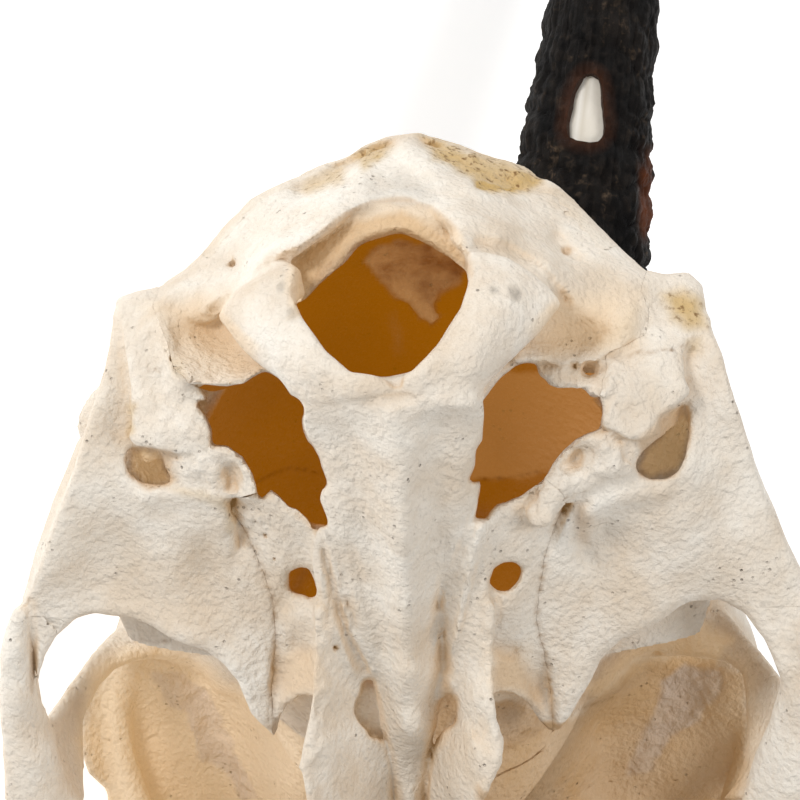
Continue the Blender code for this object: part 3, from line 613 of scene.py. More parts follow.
# %% Temporal bone
LEFT_SQUAMA = [
    (112, 330, 9.8), (116, 316, 9.2), (140, 300, 8.8), (160, 330, 9.4), (180, 385, 11.6),
    (205, 440, 15.4), (215, 480, 19.4), (228, 498, 21.6), (232, 512, 24.2), (239, 530, 27.4),
    (247, 548, 29.2), (262, 572, 32.0), (272, 600, 35.4), (276, 640, 40.2), (272, 690, 46.0),
    (274, 733, 51.2), (262, 725, 50.0), (250, 712, 48.5), (245, 700, 47.0), (238, 680, 44.8),
    (225, 665, 43.0), (205, 650, 41.0), (180, 642, 39.6), (170, 638, 39.2), (150, 625, 38.4),
    (130, 617, 37.8), (95, 613, 37.8), (75, 618, 38.4), (55, 637, 40.4), (45, 655, 42.2),
    (40, 675, 44.0), (38, 692, 45.8), (36, 650, 41.4), (34, 625, 38.6), (32, 605, 36.4),
    (26, 598, 35.4), (33, 583, 33.2), (42, 560, 30.4), (52, 530, 26.6), (62, 500, 23.0),
    (75, 465, 19.2), (85, 430, 15.8), (95, 400, 13.6), (105, 365, 11.6)]
LEFT_SQUAMA_INNER = [
    (120, 420, 15.8), (110, 460, 18.8), (85, 520, 26.0), (70, 560, 30.8), (58, 600, 36.0),
    (100, 590, 35.6), (135, 600, 36.2), (185, 620, 37.6), (232, 668, 43.1), (258, 705, 47.9),
    (258, 650, 41.4), (250, 600, 35.6), (226, 548, 28.3), (224, 522, 25.0), (205, 504, 22.6),
    (180, 500, 22.2), (140, 500, 23.0), (150, 530, 27.2), (190, 522, 24.9), (205, 575, 32.7),
    (110, 545, 30.0), (165, 580, 33.2), (218, 612, 36.9), (222, 575, 32.0), (150, 470, 19.6)]
RIGHT_SQUAMA = [
    (708, 318, 10.0), (714, 335, 10.8), (722, 352, 11.8), (735, 400, 15.6), (752, 450, 21.0),
    (765, 500, 26.4), (780, 530, 29.6), (790, 550, 31.6), (802, 572, 34.0), (812, 592, 36.4),
    (806, 650, 42.0), (798, 694, 46.8), (788, 690, 46.2), (781, 678, 44.6), (765, 640, 40.8),
    (745, 613, 38.4), (720, 600, 37.2), (690, 600, 37.0), (680, 605, 37.2), (660, 620, 38.4),
    (640, 632, 39.4), (620, 640, 40.4), (600, 660, 42.8), (585, 690, 46.2), (570, 715, 49.0),
    (560, 728, 50.6), (553, 728, 50.8), (550, 690, 46.2), (543, 665, 43.0), (538, 630, 38.6),
    (540, 600, 34.8), (545, 570, 31.0), (552, 545, 27.8), (558, 525, 24.8), (566, 505, 21.8),
    (590, 470, 18.6), (610, 430, 14.8), (610, 380, 12.0), (650, 340, 10.8)]
RIGHT_SQUAMA_INNER = [
    (700, 390, 15.0), (720, 450, 20.8), (735, 500, 26.0), (745, 540, 30.0), (765, 580, 34.4),
    (740, 585, 35.0), (700, 575, 33.6), (660, 590, 34.8), (620, 620, 37.8), (590, 650, 41.2),
    (571, 695, 46.4), (562, 640, 39.8), (580, 600, 35.2), (604, 560, 31.0), (600, 532, 28.0),
    (588, 503, 22.2), (600, 492, 21.2), (620, 490, 21.4), (660, 488, 22.0), (640, 528, 27.0),
    (690, 520, 26.4), (640, 565, 31.8), (600, 515, 24.4), (690, 470, 20.6), (650, 465, 19.4)]


EAR_MASS = [(22, 14, 20), (26, 18, 20), (26.6, 24, 19), (24, 34, 16.4), (18, 40, 14.6),
            (16, 24, 16), (20, 14, 17)]


def temporal(wax):
    wax.add([sheet(LEFT_SQUAMA, LEFT_SQUAMA_INNER, 2.6, 0.9, 0.0, 0.05, 91),
             sheet(RIGHT_SQUAMA, RIGHT_SQUAMA_INNER, 2.6, 0.9, 0.0, 0.05, 93)], 1.0)
    for side in SIDES:
        wax.add([hull(mirrored(side, EAR_MASS), 2.4, 2.0)], 3.0)


# %% The broken ear
LEFT_PLATE = [
    (119, 312, 8.8), (124, 303, 8.5), (140, 296, 8.2), (153, 299, 7.4), (160, 306, 6.9),
    (166, 320, 6.9), (174, 338, 7.2), (178, 352, 7.4), (186, 362, 7.7), (188, 373, 8.2),
    (185, 379, 8.8), (191, 385, 9.7), (198, 386, 10.2), (204, 393, 10.7), (211, 404, 11.4),
    (204, 401, 11.5), (197, 403, 11.6), (200, 409, 12.0), (206, 416, 12.4), (209, 425, 13.2),
    (211, 431, 13.8), (211, 446, 15.2), (190, 456, 16.3), (170, 454, 16.2), (158, 449, 15.8),
    (146, 447, 15.7), (136, 446, 15.6), (128, 437, 15.0), (132, 428, 14.3), (131, 410, 13.0),
    (130, 390, 11.8), (128, 370, 10.8), (124, 345, 9.6)]
LEFT_PLATE_INNER = [(145, 325, 8.0), (148, 352, 9.2), (165, 395, 11.5), (186, 398, 11.4),
                    (190, 430, 13.6), (155, 430, 14.0), (140, 380, 10.9), (172, 365, 8.6),
                    (165, 378, 10.4)]
RIGHT_PLATE = [
    (604, 350, 9.8), (618, 342, 9.6), (632, 332, 9.4), (648, 322, 9.2), (662, 314, 9.2),
    (684, 318, 9.8), (689, 340, 10.6), (682, 356, 11.0), (684, 380, 12.2), (689, 392, 13.0),
    (680, 402, 13.5), (670, 410, 13.8), (659, 416, 14.0), (660, 430, 15.0), (650, 438, 15.4),
    (640, 441, 15.4), (625, 438, 14.8), (612, 431, 14.0), (600, 427, 13.4), (603, 412, 12.4),
    (600, 401, 11.6), (608, 390, 10.8), (606, 372, 10.2)]
RIGHT_PLATE_INNER = [(640, 375, 10.9), (662, 390, 12.2), (630, 408, 12.6), (660, 355, 10.2),
                     (642, 420, 13.8)]
LEFT_STONE = [
    (170, 458, 17.2), (190, 456, 16.6), (206, 448, 15.6), (212, 446, 15.2), (228, 446, 14.6),
    (240, 455, 15.0), (249, 467, 16.0), (256, 484, 17.8), (259, 496, 19.4), (250, 500, 20.2),
    (238, 497, 20.3), (226, 499, 20.6), (214, 492, 20.6), (196, 486, 20.6), (178, 487, 20.8),
    (170, 475, 19.6)]
LEFT_STONE_INNER = [(220, 462, 16.6), (229, 470, 18.9), (235, 482, 20.3), (218, 478, 18.2),
                    (200, 468, 17.4), (185, 472, 18.4), (244, 476, 17.6), (246, 492, 19.4),
                    (208, 480, 19.0)]
RIGHT_STONE = [
    (600, 430, 14.4), (588, 434, 14.4), (575, 440, 14.8), (563, 451, 15.7), (553, 463, 17.0),
    (545, 480, 18.4), (541, 496, 19.6), (529, 504, 20.4), (526, 510, 20.8), (530, 522, 21.4),
    (540, 529, 22.3), (549, 523, 22.0), (556, 512, 21.2), (566, 503, 20.8), (580, 493, 20.2),
    (592, 487, 19.8), (606, 480, 19.2), (625, 474, 18.8), (634, 468, 18.2), (626, 455, 17.0),
    (622, 444, 15.8), (612, 433, 14.6)]
RIGHT_STONE_INNER = [(570, 462, 18.8), (577, 455, 18.2), (590, 446, 15.6), (600, 458, 16.6),
                     (588, 470, 18.0), (562, 482, 18.6), (552, 500, 19.8), (612, 466, 17.6),
                     (575, 478, 18.4), (540, 515, 21.0)]
LEFT_EAR = [(130, 448, 15.9), (146, 448, 16.1), (158, 450, 16.4), (164, 456, 17.0),
            (165, 466, 18.2), (175, 479, 20.2), (172, 484, 20.8), (158, 488, 21.2),
            (142, 484, 20.8), (129, 472, 19.4), (126, 458, 17.4)]
RIGHT_EAR = [(684, 402, 13.9), (690, 412, 14.9), (688, 440, 17.4), (684, 458, 19.0),
             (678, 470, 20.0), (665, 478, 20.6), (648, 479, 20.6), (634, 470, 19.6),
             (636, 460, 18.4), (644, 449, 16.9), (660, 434, 15.4), (660, 417, 14.2),
             (670, 411, 13.9)]


def ears(wax):
    wax.scoop([pit(LEFT_EAR, [(146, 468, 18.2)], 2.0, 3.4),
               pit(RIGHT_EAR, [(664, 450, 17.6)], 2.0, 3.6)], 0.6)
    wax.add([sheet(LEFT_PLATE, LEFT_PLATE_INNER, 2.6, 0.5, 0.06, 0.16, 101),
             sheet(RIGHT_PLATE, RIGHT_PLATE_INNER, 2.4, 0.5, 0.10, 0.20, 103)], 0.35)
    wax.add([sheet(LEFT_STONE, LEFT_STONE_INNER, 3.4, 0.7, 0.08, 0.14, 105),
             sheet(RIGHT_STONE, RIGHT_STONE_INNER, 3.4, 0.7, 0.10, 0.16, 107)], 0.5)


# %% [markdown]
# ## The keel and the sphenoid
#
# Down the middle runs the base of the skull: a bar with a low keel and two flat slopes, wide at the
# condyles and narrow in front. The sphenoid spreads from it to both sides as saddles, pierced by
# the oval holes, and sends down the tall thin pterygoid plates beside the throat.

# %% Keel
KEEL = [
    (345, 392, 2.4), (400, 388, 1.6), (430, 392, 2.4), (470, 394, 4.4), (481, 392, 5.4),
    (480, 403, 6.4), (484, 415, 7.8), (482, 440, 10.2), (474, 470, 13.6), (469, 480, 15.0),
    (481, 482, 15.6), (478, 500, 17.8), (474, 520, 20.6), (484, 521, 21.4), (474, 560, 26.5),
    (462, 590, 30.5), (454, 620, 34.5), (446, 650, 39.0), (440, 690, 45.0), (436, 722, 49.0),
    (429, 755, 53.5), (426, 797, 60.0), (425, 860, 68.5), (396, 860, 68.5), (394, 800, 60.0),
    (391, 760, 54.5), (385, 730, 50.0), (376, 690, 44.5), (368, 668, 41.5), (352, 640, 37.4),
    (343, 603, 32.4), (333, 560, 26.4), (329, 527, 21.2), (320, 500, 17.8), (322, 490, 16.4),
    (328, 485, 15.4), (320, 458, 12.2), (308, 440, 9.9), (303, 420, 7.4), (306, 412, 6.6),
    (303, 402, 5.8), (293, 397, 5.4), (289, 388, 4.6)]
KEEL_INNER = [(393, 405, 3.2), (394, 436, 6.7), (397, 476, 11.6), (401, 536, 19.4),
              (406, 606, 29.4), (411, 670, 39.0), (412, 730, 47.8), (411, 800, 58.8),
              (350, 436, 7.7), (358, 476, 12.6), (365, 536, 20.8), (377, 606, 30.8),
              (392, 680, 42.0), (445, 436, 7.7), (440, 476, 12.6), (440, 536, 21.0),
              (436, 606, 31.0), (428, 680, 41.8), (318, 404, 5.0), (462, 404, 4.9), (325, 440, 9.6),
              (470, 440, 9.6), (462, 480, 14.2)]
KEEL_LINES = (
    ([(392, 420), (397, 440), (401, 500), (404, 560), (408, 640), (410, 720)], 1.5, -0.9),
    ([(403, 470), (404, 520), (405, 580)], 0.35, -0.18),
    ([(350, 440), (358, 480), (368, 540), (380, 600), (392, 650)], 1.5, 0.65),
    ([(436, 425), (438, 470), (434, 540), (430, 600), (426, 650)], 1.5, 0.85),
    ([(420, 410), (445, 402), (470, 408)], 1.1, -0.5),
    ([(352, 545), (366, 600), (382, 650)], 0.4, 0.25),
    ([(446, 540), (438, 600), (430, 640)], 0.35, 0.3),
    ([(315, 530), (324, 550), (330, 570), (342, 602)], 0.45, 0.3),
    ([(462, 545), (452, 566), (443, 587), (438, 606)], 0.5, 0.3),
    ([(482, 530), (470, 572), (462, 605), (457, 640)], 0.45, -0.6),
    ([(440, 600), (443, 640), (446, 668)], 0.4, 0.3),
    ([(349, 600), (356, 640), (366, 668)], 0.4, 0.3))


# The thin plates of the vomer, folded between the keel and the throat.
FOLDS = (
    ([(312, 520, 21.3), (334, 524, 21.1), (350, 600, 32.1), (364, 640, 38.1), (380, 676, 43.3),
      (372, 690, 44.7), (352, 690, 44.1), (330, 680, 41.7), (318, 640, 36.7), (312, 580, 29.1)],
     [(340, 600, 32.5), (352, 650, 39.3), (330, 560, 27.1)]),
    ([(470, 526, 21.1), (484, 522, 21.3), (486, 560, 26.1), (476, 620, 33.3), (462, 680, 41.1),
      (440, 700, 45.1), (434, 690, 44.7), (436, 640, 38.1), (446, 590, 31.3), (458, 550, 25.7)],
     [(462, 580, 29.9), (450, 640, 37.5)]))


def keel(wax):
    wax.add([sheet(KEEL, KEEL_INNER, 4.6, 0.6, 0.05, 0.04, 111)], 0.6)
    wax.add([sheet(outline, inner, 1.6, 0.4, 0.04, 0.08, 113) for outline, inner in FOLDS], 0.5)


# %% Wings of the sphenoid and the pterygoid plates
LEFT_WING = [
    (250, 492, 20.4), (257, 499, 20.7), (266, 494, 20.1), (271, 489, 19.7), (290, 507, 20.8),
    (297, 508, 20.8), (307, 518, 21.8), (313, 527, 22.6), (330, 527, 21.8), (338, 570, 27.4),
    (338, 600, 32.0), (322, 640, 38.0), (318, 690, 43.4), (316, 693, 44.0), (300, 695, 45.2),
    (287, 704, 46.8), (279, 720, 49.6), (275, 735, 51.4), (265, 722, 50.4), (266, 690, 47.2),
    (262, 640, 42.0), (256, 600, 37.0), (246, 566, 32.8), (236, 540, 29.2), (230, 515, 25.8),
    (236, 500, 22.6)]
LEFT_WING_INNER = [(262, 520, 24.2), (285, 520, 23.0), (300, 545, 26.6), (275, 560, 29.2),
                   (284, 602, 35.0), (283, 640, 40.2), (305, 618, 35.6), (305, 655, 40.9),
                   (292, 672, 43.8), (277, 700, 47.2), (318, 590, 32.6), (272, 600, 36.0),
                   (250, 540, 28.6), (244, 520, 25.8)]
RIGHT_WING = [
    (474, 521, 21.6), (487, 520, 21.5), (494, 507, 20.7), (505, 503, 20.4), (520, 497, 20.1),
    (535, 484, 19.2), (552, 490, 20.4), (566, 500, 22.6), (570, 530, 26.6), (562, 560, 30.4),
    (556, 600, 35.4), (556, 640, 40.4), (560, 690, 46.8), (558, 727, 51.4), (550, 731, 51.6),
    (540, 719, 49.8), (528, 702, 47.2), (512, 692, 45.2), (495, 690, 44.0), (492, 662, 40.4),
    (488, 620, 35.0), (466, 600, 31.8), (464, 570, 27.6), (470, 545, 24.4)]
RIGHT_WING_INNER = [(505, 530, 23.9), (527, 515, 22.4), (505, 612, 33.4), (524, 592, 32.2),
                    (525, 640, 39.0), (505, 640, 37.6), (512, 668, 42.2), (520, 552, 27.0),
                    (540, 560, 29.2), (546, 530, 25.8), (545, 690, 47.6), (480, 590, 30.4)]
LEFT_THROAT = [
    (326, 560, 27.0), (340, 600, 33.0), (352, 640, 38.4), (362, 666, 42.0), (372, 676, 43.6),
    (378, 700, 46.6), (385, 730, 50.4), (390, 765, 55.0), (393, 800, 59.6), (396, 850, 66.4),
    (318, 850, 58.4), (309, 800, 51.0), (304, 772, 48.2), (302, 765, 47.5), (306, 745, 45.8),
    (311, 725, 44.0), (316, 695, 41.2), (316, 660, 37.6), (318, 630, 34.6), (319, 600, 31.6),
    (320, 575, 28.6)]
LEFT_THROAT_INNER = [(340, 720, 46.0), (342, 680, 42.0), (350, 770, 51.6), (352, 815, 56.6),
                     (330, 630, 34.8), (325, 690, 41.0), (318, 745, 45.6), (365, 760, 52.4)]
LEFT_LIGHT_HOLE = [(367, 677), (374, 680), (376, 700), (380, 720), (385, 742), (377, 738),
                   (370, 737), (367, 729), (360, 722), (355, 712), (356, 700), (361, 694),
                   (362, 682)]
RIGHT_THROAT = [
    (484, 560, 26.6), (490, 600, 31.0), (492, 620, 33.2), (490, 650, 36.4), (490, 680, 39.4),
    (494, 720, 43.2), (500, 742, 45.4), (500, 760, 47.0), (496, 772, 48.2), (488, 780, 49.4),
    (483, 797, 51.4), (476, 850, 57.8), (426, 850, 66.0), (427, 797, 59.0), (429, 775, 56.2),
    (432, 750, 52.8), (439, 737, 50.8), (444, 730, 49.6), (452, 726, 48.4), (457, 722, 47.6),
    (457, 700, 45.0), (452, 694, 44.2), (449, 680, 42.8), (446, 664, 40.8), (442, 640, 37.4),
    (446, 600, 32.2), (458, 575, 28.6)]
RIGHT_THROAT_INNER = [(470, 640, 35.6), (472, 700, 41.6), (468, 750, 47.4), (460, 790, 53.0),
                      (455, 820, 58.4), (480, 690, 40.2), (486, 750, 46.2), (465, 600, 31.2)]
LEFT_OVAL = [(290, 571), (300, 566), (310, 567), (315, 580), (319, 594), (312, 599), (302, 592),
             (292, 582), (288, 573)]
RIGHT_OVAL = [(493, 567), (503, 561), (514, 561), (523, 569), (518, 582), (508, 592), (497, 592),
              (488, 583)]


def sphenoid(wax):
    wax.add([sheet(LEFT_WING, LEFT_WING_INNER, 2.6, 0.5, 0.05, 0.06, 121),
             sheet(RIGHT_WING, RIGHT_WING_INNER, 2.6, 0.5, 0.05, 0.06, 123)], 0.5)


THROAT_RIDGES = (
    ([(318, 610), (318, 690), (312, 730), (306, 765), (312, 800)], 0.55, -0.45, (-14, 26, -12),
     (-4, 66, 8)),
    ([(490, 610), (489, 690), (495, 735), (495, 765), (484, 790)], 0.6, -0.45, (3, 26, -12),
     (14, 66, 8)),
    ([(464, 726), (474, 745), (484, 768)], 0.45, -0.5, (3, 40, -12), (14, 60, 8)))


def throat_plates(wax):
    wax.add([sheet(LEFT_THROAT, LEFT_THROAT_INNER, 1.3, 0.4, 0.05, 0.05, 131),
             sheet(RIGHT_THROAT, RIGHT_THROAT_INNER, 1.3, 0.4, 0.05, 0.05, 133)], 0.4)
    wax.scoop([swept(LEFT_LIGHT_HOLE, (-12, 38, -4), (0, 60, 9), 0.05, 135)], 0.2)
    for row in THROAT_RIDGES:
        scrape(wax, *row)


# %% [markdown]
# ## Cheek arches, eye sockets and brow
#
# Each cheek arch is two overlapping splints: the temporal bone's process above and the cheek bone's
# below, with a narrow slot between them. A plate of bone rises behind the socket to the brow, and
# its inner edge is the arc that the photograph shows. The socket's roof is a smooth bowl. The horns
# stand on two short pedicles at the back of the brow.

# %% Arches
LEFT_CHEEK = [
    (31, 602, 36.2), (22, 603, 35.8), (13, 610, 36.2), (5, 630, 38.2), (1, 650, 40.4),
    (-1, 690, 45.0), (1, 715, 48.0), (4, 760, 53.4), (6, 800, 58.4), (14, 850, 65.0),
    (112, 850, 66.6), (92, 824, 64.0), (80, 800, 61.4), (62, 760, 56.0), (48, 718, 50.6),
    (38, 692, 47.0), (33, 650, 41.8), (33, 628, 39.2)]
LEFT_CHEEK_INNER = [(20, 700, 45.6), (35, 760, 53.0), (46, 800, 58.2), (18, 650, 39.8),
                    (24, 620, 37.0)]
RIGHT_CHEEK = [
    (794, 592, 36.2), (806, 596, 36.4), (822, 620, 38.6), (830, 660, 42.4), (834, 715, 48.4),
    (832, 760, 53.4), (828, 800, 58.4), (816, 850, 65.0), (722, 850, 66.6), (732, 822, 63.6),
    (741, 800, 60.6), (748, 780, 58.2), (757, 750, 54.4), (770, 720, 50.6), (781, 680, 45.8),
    (788, 640, 41.2)]
RIGHT_CHEEK_INNER = [(806, 700, 45.8), (794, 760, 53.0), (784, 800, 58.0), (808, 640, 39.8)]


# Sections of the two splints: (centre, half width, half height).
SPLINTS = (
    (((31, 22, 15.6), 1.7, 2.4), ((35.1, 31, 12.4), 1.6, 2.2), ((37.8, 38, 11.2), 1.3, 2.0),
     ((39.4, 45, 11.2), 1.1, 1.8), ((39.4, 53.5, 12.2), 0.8, 1.2)),
    (((39.4, 37.5, 8.8), 0.6, 0.9), ((40.2, 43, 8.2), 1.2, 1.8), ((40.2, 50, 7.8), 1.4, 2.4),
     ((39.2, 57, 7.4), 1.7, 3.0), ((36.5, 66, 6.4), 2.0, 3.6), ((31.4, 77, 5.2), 2.3, 3.8),
     ((26, 87, 5.8), 2.8, 4.6), ((20, 97, 8), 3.6, 5.6)))


def arches(wax):
    for side in SIDES:
        for stations in SPLINTS:
            wax.add(tube([((x * side, y, z), w, h) for (x, y, z), w, h in stations]), 1.0)
    wax.add([sheet(LEFT_CHEEK, LEFT_CHEEK_INNER, 2.6, 0.9),
             sheet(RIGHT_CHEEK, RIGHT_CHEEK_INNER, 2.6, 0.9)], 0.3)


# %% Sockets and brow
LEFT_BAR = [
    (130, 616, 64.4), (95, 650, 60.4), (60, 700, 57.8), (44, 722, 56.0), (52, 760, 58.0),
    (66, 800, 61.4), (84, 800, 63.4), (84, 780, 63.2), (83, 720, 63.2), (92, 700, 62.8),
    (100, 684, 62.6), (115, 669, 63.0), (132, 661, 64.0), (150, 658, 65.4), (172, 660, 67.4),
    (190, 666, 69.0), (205, 678, 70.0), (216, 692, 70.6), (240, 698, 68.0), (262, 722, 64.0),
    (262, 700, 61.0), (245, 672, 58.6), (215, 645, 57.6), (185, 632, 58.4), (150, 616, 60.4)]
LEFT_BAR_INNER = [(160, 642, 64.6), (110, 655, 62.2), (66, 740, 60.2), (215, 668, 63.4),
                  (190, 648, 62.8), (80, 700, 60.8)]
RIGHT_BAR = [
    (718, 600, 63.0), (740, 627, 61.0), (760, 652, 59.4), (782, 679, 57.4), (790, 700, 57.0),
    (772, 760, 59.0), (752, 800, 62.0), (722, 800, 64.6), (733, 786, 63.8), (741, 770, 63.4),
    (746, 750, 63.2), (746, 700, 63.2), (745, 685, 63.2), (742, 673, 63.4), (730, 663, 64.0),
    (710, 658, 65.2), (685, 656, 66.6), (660, 657, 67.8), (650, 659, 68.4), (636, 668, 69.2),
    (625, 683, 69.6), (618, 692, 69.4), (590, 700, 67.4), (564, 724, 63.6), (572, 695, 60.0),
    (598, 655, 58.0), (640, 620, 58.4), (685, 598, 60.6)]
RIGHT_BAR_INNER = [(690, 635, 65.0), (730, 640, 63.4), (765, 700, 60.0), (640, 645, 63.6),
                   (605, 672, 63.2), (670, 648, 66.6)]
LEFT_SOCKET = [
    (120, 640, 66.0), (96, 672, 70.0), (78, 710, 74.0), (80, 750, 78.0), (88, 774, 80.4),
    (106, 790, 83.2), (114, 850, 89.0), (330, 850, 92.0), (330, 780, 73.0), (325, 730, 64.0),
    (318, 690, 59.6), (276, 690, 62.4), (250, 690, 66.6), (228, 680, 69.4), (205, 660, 69.6),
    (170, 640, 67.4)]
LEFT_SOCKET_INNER = [
    (120, 690, 73.2), (120, 740, 79.6), (120, 790, 84.0), (150, 690, 74.4), (150, 740, 81.0),
    (150, 790, 86.2), (190, 700, 75.6), (190, 750, 82.6), (190, 795, 88.2), (230, 740, 80.2),
    (230, 795, 87.6), (240, 705, 73.0), (270, 790, 82.4), (270, 740, 73.6), (300, 740, 67.0),
    (300, 790, 76.6)]
RIGHT_SOCKET = [
    (660, 640, 67.4), (700, 630, 66.6), (735, 650, 67.2), (756, 680, 71.0), (762, 740, 79.6),
    (756, 800, 88.2), (744, 850, 95.0), (482, 850, 92.0), (484, 780, 74.6), (486, 740, 66.6),
    (488, 690, 60.6), (530, 690, 62.4), (560, 705, 65.2), (590, 690, 66.6), (620, 665, 68.6)]
RIGHT_SOCKET_INNER = [
    (690, 690, 74.4), (690, 740, 82.4), (690, 790, 89.6), (650, 700, 75.6), (650, 760, 85.0),
    (600, 720, 77.0), (600, 790, 87.4), (725, 700, 74.0), (730, 760, 83.4), (560, 740, 72.6),
    (560, 790, 82.0), (520, 740, 68.0), (520, 790, 77.0)]


BROW_PLATE = [(8, 60, 49), (7, 86, 44.6), (24.6, 78, 42.4), (26.4, 67, 40.6), (10, 70, 34)]
EAVE = [(30.8, 68, 38.6), (33.2, 74, 37.8), (32.4, 84, 35.4), (22, 66, 42.2), (22, 86, 41.6),
        (30.4, 90, 31.6)]
PEDICLE = [(11.4, 60, 36, 10.0), (12.6, 55.5, 42, 9.4), (13.3, 52.5, 46.4, 8.4)]
BROW_BOSS, BROW_BOSS_RADII = (19.6, 66, 44.4), (4.2, 5.0, 2.0)
# The broken core: where it starts and ends along the horn's axis, and its radii there.
STUMP = ((-6, 7.2), (4.6, 6.9))
STUMP_HOLLOW = (4.2, 3.0, 2.6)


def brow(wax, side):
    wax.add([hull(mirrored(side, BROW_PLATE), 2.6, 3)], 4.0)
    wax.add([hull(mirrored(side, EAVE), 1.9, 2)], 2.5)
    wax.add(rods(balls(side, PEDICLE)), 4.0)
    wax.add([egg(*mirrored(side, [BROW_BOSS]), BROW_BOSS_RADII)], 3.0)
    if side < 0:
        ends = [np.array(HORN_BASE) + unit(HORN_AXIS) * length for length, _ in STUMP]
        ends = mirrored(side, ends)
        wax.add(tube([(end, radius, radius) for end, (_, radius) in zip(ends, STUMP)]), 1.5)
        wax.scoop([egg(ends[1], STUMP_HOLLOW)], 0.8)


SOCKET_RIM = [(31.4, 65.6, 37.4, 1.5), (33.8, 72, 36.4, 1.5), (34.2, 80, 33.6, 1.5),
              (31.6, 88, 29.0, 1.7), (28.0, 93, 23, 1.9), (26.0, 93.4, 15, 2.1),
              (28.8, 85.5, 9, 2.3)]


def socket_rim(wax, side):
    wax.add(rods(balls(side, SOCKET_RIM)), 1.8)


# Plates of the cheek in front of the socket: (points, thickness).
CHEEK_PLATES = (
    ([(26.0, 92, 26), (24.4, 90, 36), (15, 96, 38), (16, 107, 26), (10, 96, 28)], 2.3),
    ([(26.0, 92, 26), (25.0, 92, 16), (16, 107, 26), (16.4, 105, 11), (10, 96, 16)], 2.4),
    ([(25.0, 92, 16), (27.6, 86, 8), (16.4, 105, 11), (17, 96, 3), (11, 92, 10)], 2.6),
    ([(28.8, 80, 38.4), (27.8, 86, 36.4), (24.0, 92, 33.6), (14, 97, 37.6), (10, 84, 43.4),
      (10, 80, 36)], 2.2))


def cheek(wax, side):
    for points, radius in CHEEK_PLATES:
        wax.add([hull(mirrored(side, points), radius, 2)], 3.0)


TEMPLE_ROOM = [(30.5, 47, 18), (29, 49, 30), (22.6, 58, 21), (30, 53, 4), (28, 61, 29), (32, 48, 8),
               (38, 50, 20), (24, 55, 9)]


def temple_hollow(wax, side):
    """Room for the chewing muscle between the braincase and the cheek arch."""
    wax.scoop([hull(mirrored(side, TEMPLE_ROOM), 4.4, 3)], 2.0)


ORBIT_CENTRE, ORBIT_RADII = (30.4, 76.5, 22), (16.6, 15.0, 14.2)
ORBIT_MOUTH = [(20, 75, 22), (33, 66, 22), (42, 76, 22), (36, 84, 22)]
ORBIT_BACK = [(18, 80, 24), (13, 84, 20)]
TEAR_DUCT = [(14, 86, 14), (10, 104, 8)]


def orbit_hollow(wax, side):
    wax.scoop([egg(*mirrored(side, [ORBIT_CENTRE]), ORBIT_RADII),
               hull(mirrored(side, ORBIT_MOUTH), 12.0, 3),
               rod(*mirrored(side, ORBIT_BACK), 4.5, 4.5)], 2.0)
    wax.scoop([rod(*mirrored(side, TEAR_DUCT), 2.0, 1.8)], 1.0)


def sockets(wax):
    wax.add([sheet(LEFT_SOCKET, LEFT_SOCKET_INNER, 3.0, 0.8),
             sheet(RIGHT_SOCKET, RIGHT_SOCKET_INNER, 3.0, 0.8)], 1.0)
    wax.add([sheet(LEFT_BAR, LEFT_BAR_INNER, 1.8, 0.8, 0.0, 0.08, 141),
             sheet(RIGHT_BAR, RIGHT_BAR_INNER, 1.8, 0.8, 0.0, 0.08, 143)], 0.4)


# %% [markdown]
# ## Muzzle, palate and teeth
#
# The face is a wedge with a pit in front of each socket. The nasal bones roof it, the premaxillae
# end it in two flat rods, and the palate carries six cheek teeth on each side: three simple ones
# and three with two lobes, worn a little unevenly.

# %% Face and teeth
TOOTH_ROW = (72.0, 122.0)
TOOTH_LENGTHS = (6.0, 7.0, 6.6, 9.0, 10.2, 10.6)
TOOTH_WIDTHS = (5.0, 6.2, 7.4, 8.8, 9.2, 8.6)
PREMOLARS = 3
CROWN_HEIGHT = 5.5
CROWN_WEAR = 0.35


# Sections of the snout: (centre, half width, half height).
FACE_SECTIONS = [((0, 64, 30), 16, 20), ((0, 84, 24.5), 18.6, 24.4), ((0, 100, 18.8), 17.8, 22.6),
                 ((0, 115, 14.5), 14.6, 19.6), ((0, 130, 11), 11.2, 15.6), ((0, 140, 7), 8.8, 11.4)]
TOOTH_BEARER = [(16.6, 73, -5.2), (15.8, 92, -5.4), (13.0, 112, -4.4), (11.6, 122, -2.8),
                (16, 82, 4), (12.4, 116, 4)]
CHOANA = [(9, 60, -9.0), (12, 72, -7.6), (16, 74, -6), (6, 62, 5), (9, 78, 6), (16, 78, 6)]
CHOANA_PLATES = [(0, 1, 3), (1, 4, 3), (1, 2, 4), (2, 5, 4)]
MOUTH_ROOF = [(0, 69, -5.6), (14, 72, -6), (0, 96, -5.4), (15, 96, -6), (0, 124, -3.6),
              (12, 122, -4)]
MOUTH_ROOF_PLATES = [(0, 1, 2), (1, 3, 2), (2, 3, 4), (3, 5, 4)]
PREMAXILLA = [(11, 122, -1.5, 2.2), (9.6, 136, -1.2, 2.0), (8.9, 148, -1.2, 1.9),
              (6.2, 157.1, -1.7, 1.8), (2.7, 160.9, -2.1, 1.5)]
PREMAXILLA_INNER = [(2.7, 160.9, -2.1, 1.4), (1.9, 148, -1.9, 1.2), (2.0, 132, -2.6, 1.2)]
NOSTRIL_WING = [(8.9, 149, -0.6), (9.6, 134, 9), (7.8, 132, 18.6), (10.2, 126, 12), (10.2, 126, 0)]
NASAL_BACK = [(4.0, 91, 43.6), (6.0, 114, 34.0), (1.0, 114, 35.6)]
NASAL_FRONT = [(5.8, 112, 34.6), (1.0, 112, 36.2), (4.6, 131, 26.4), (1.2, 131, 28.6),
               (1.8, 141, 24.6)]


def face(wax):
    wax.add(tube(FACE_SECTIONS), 5.0)


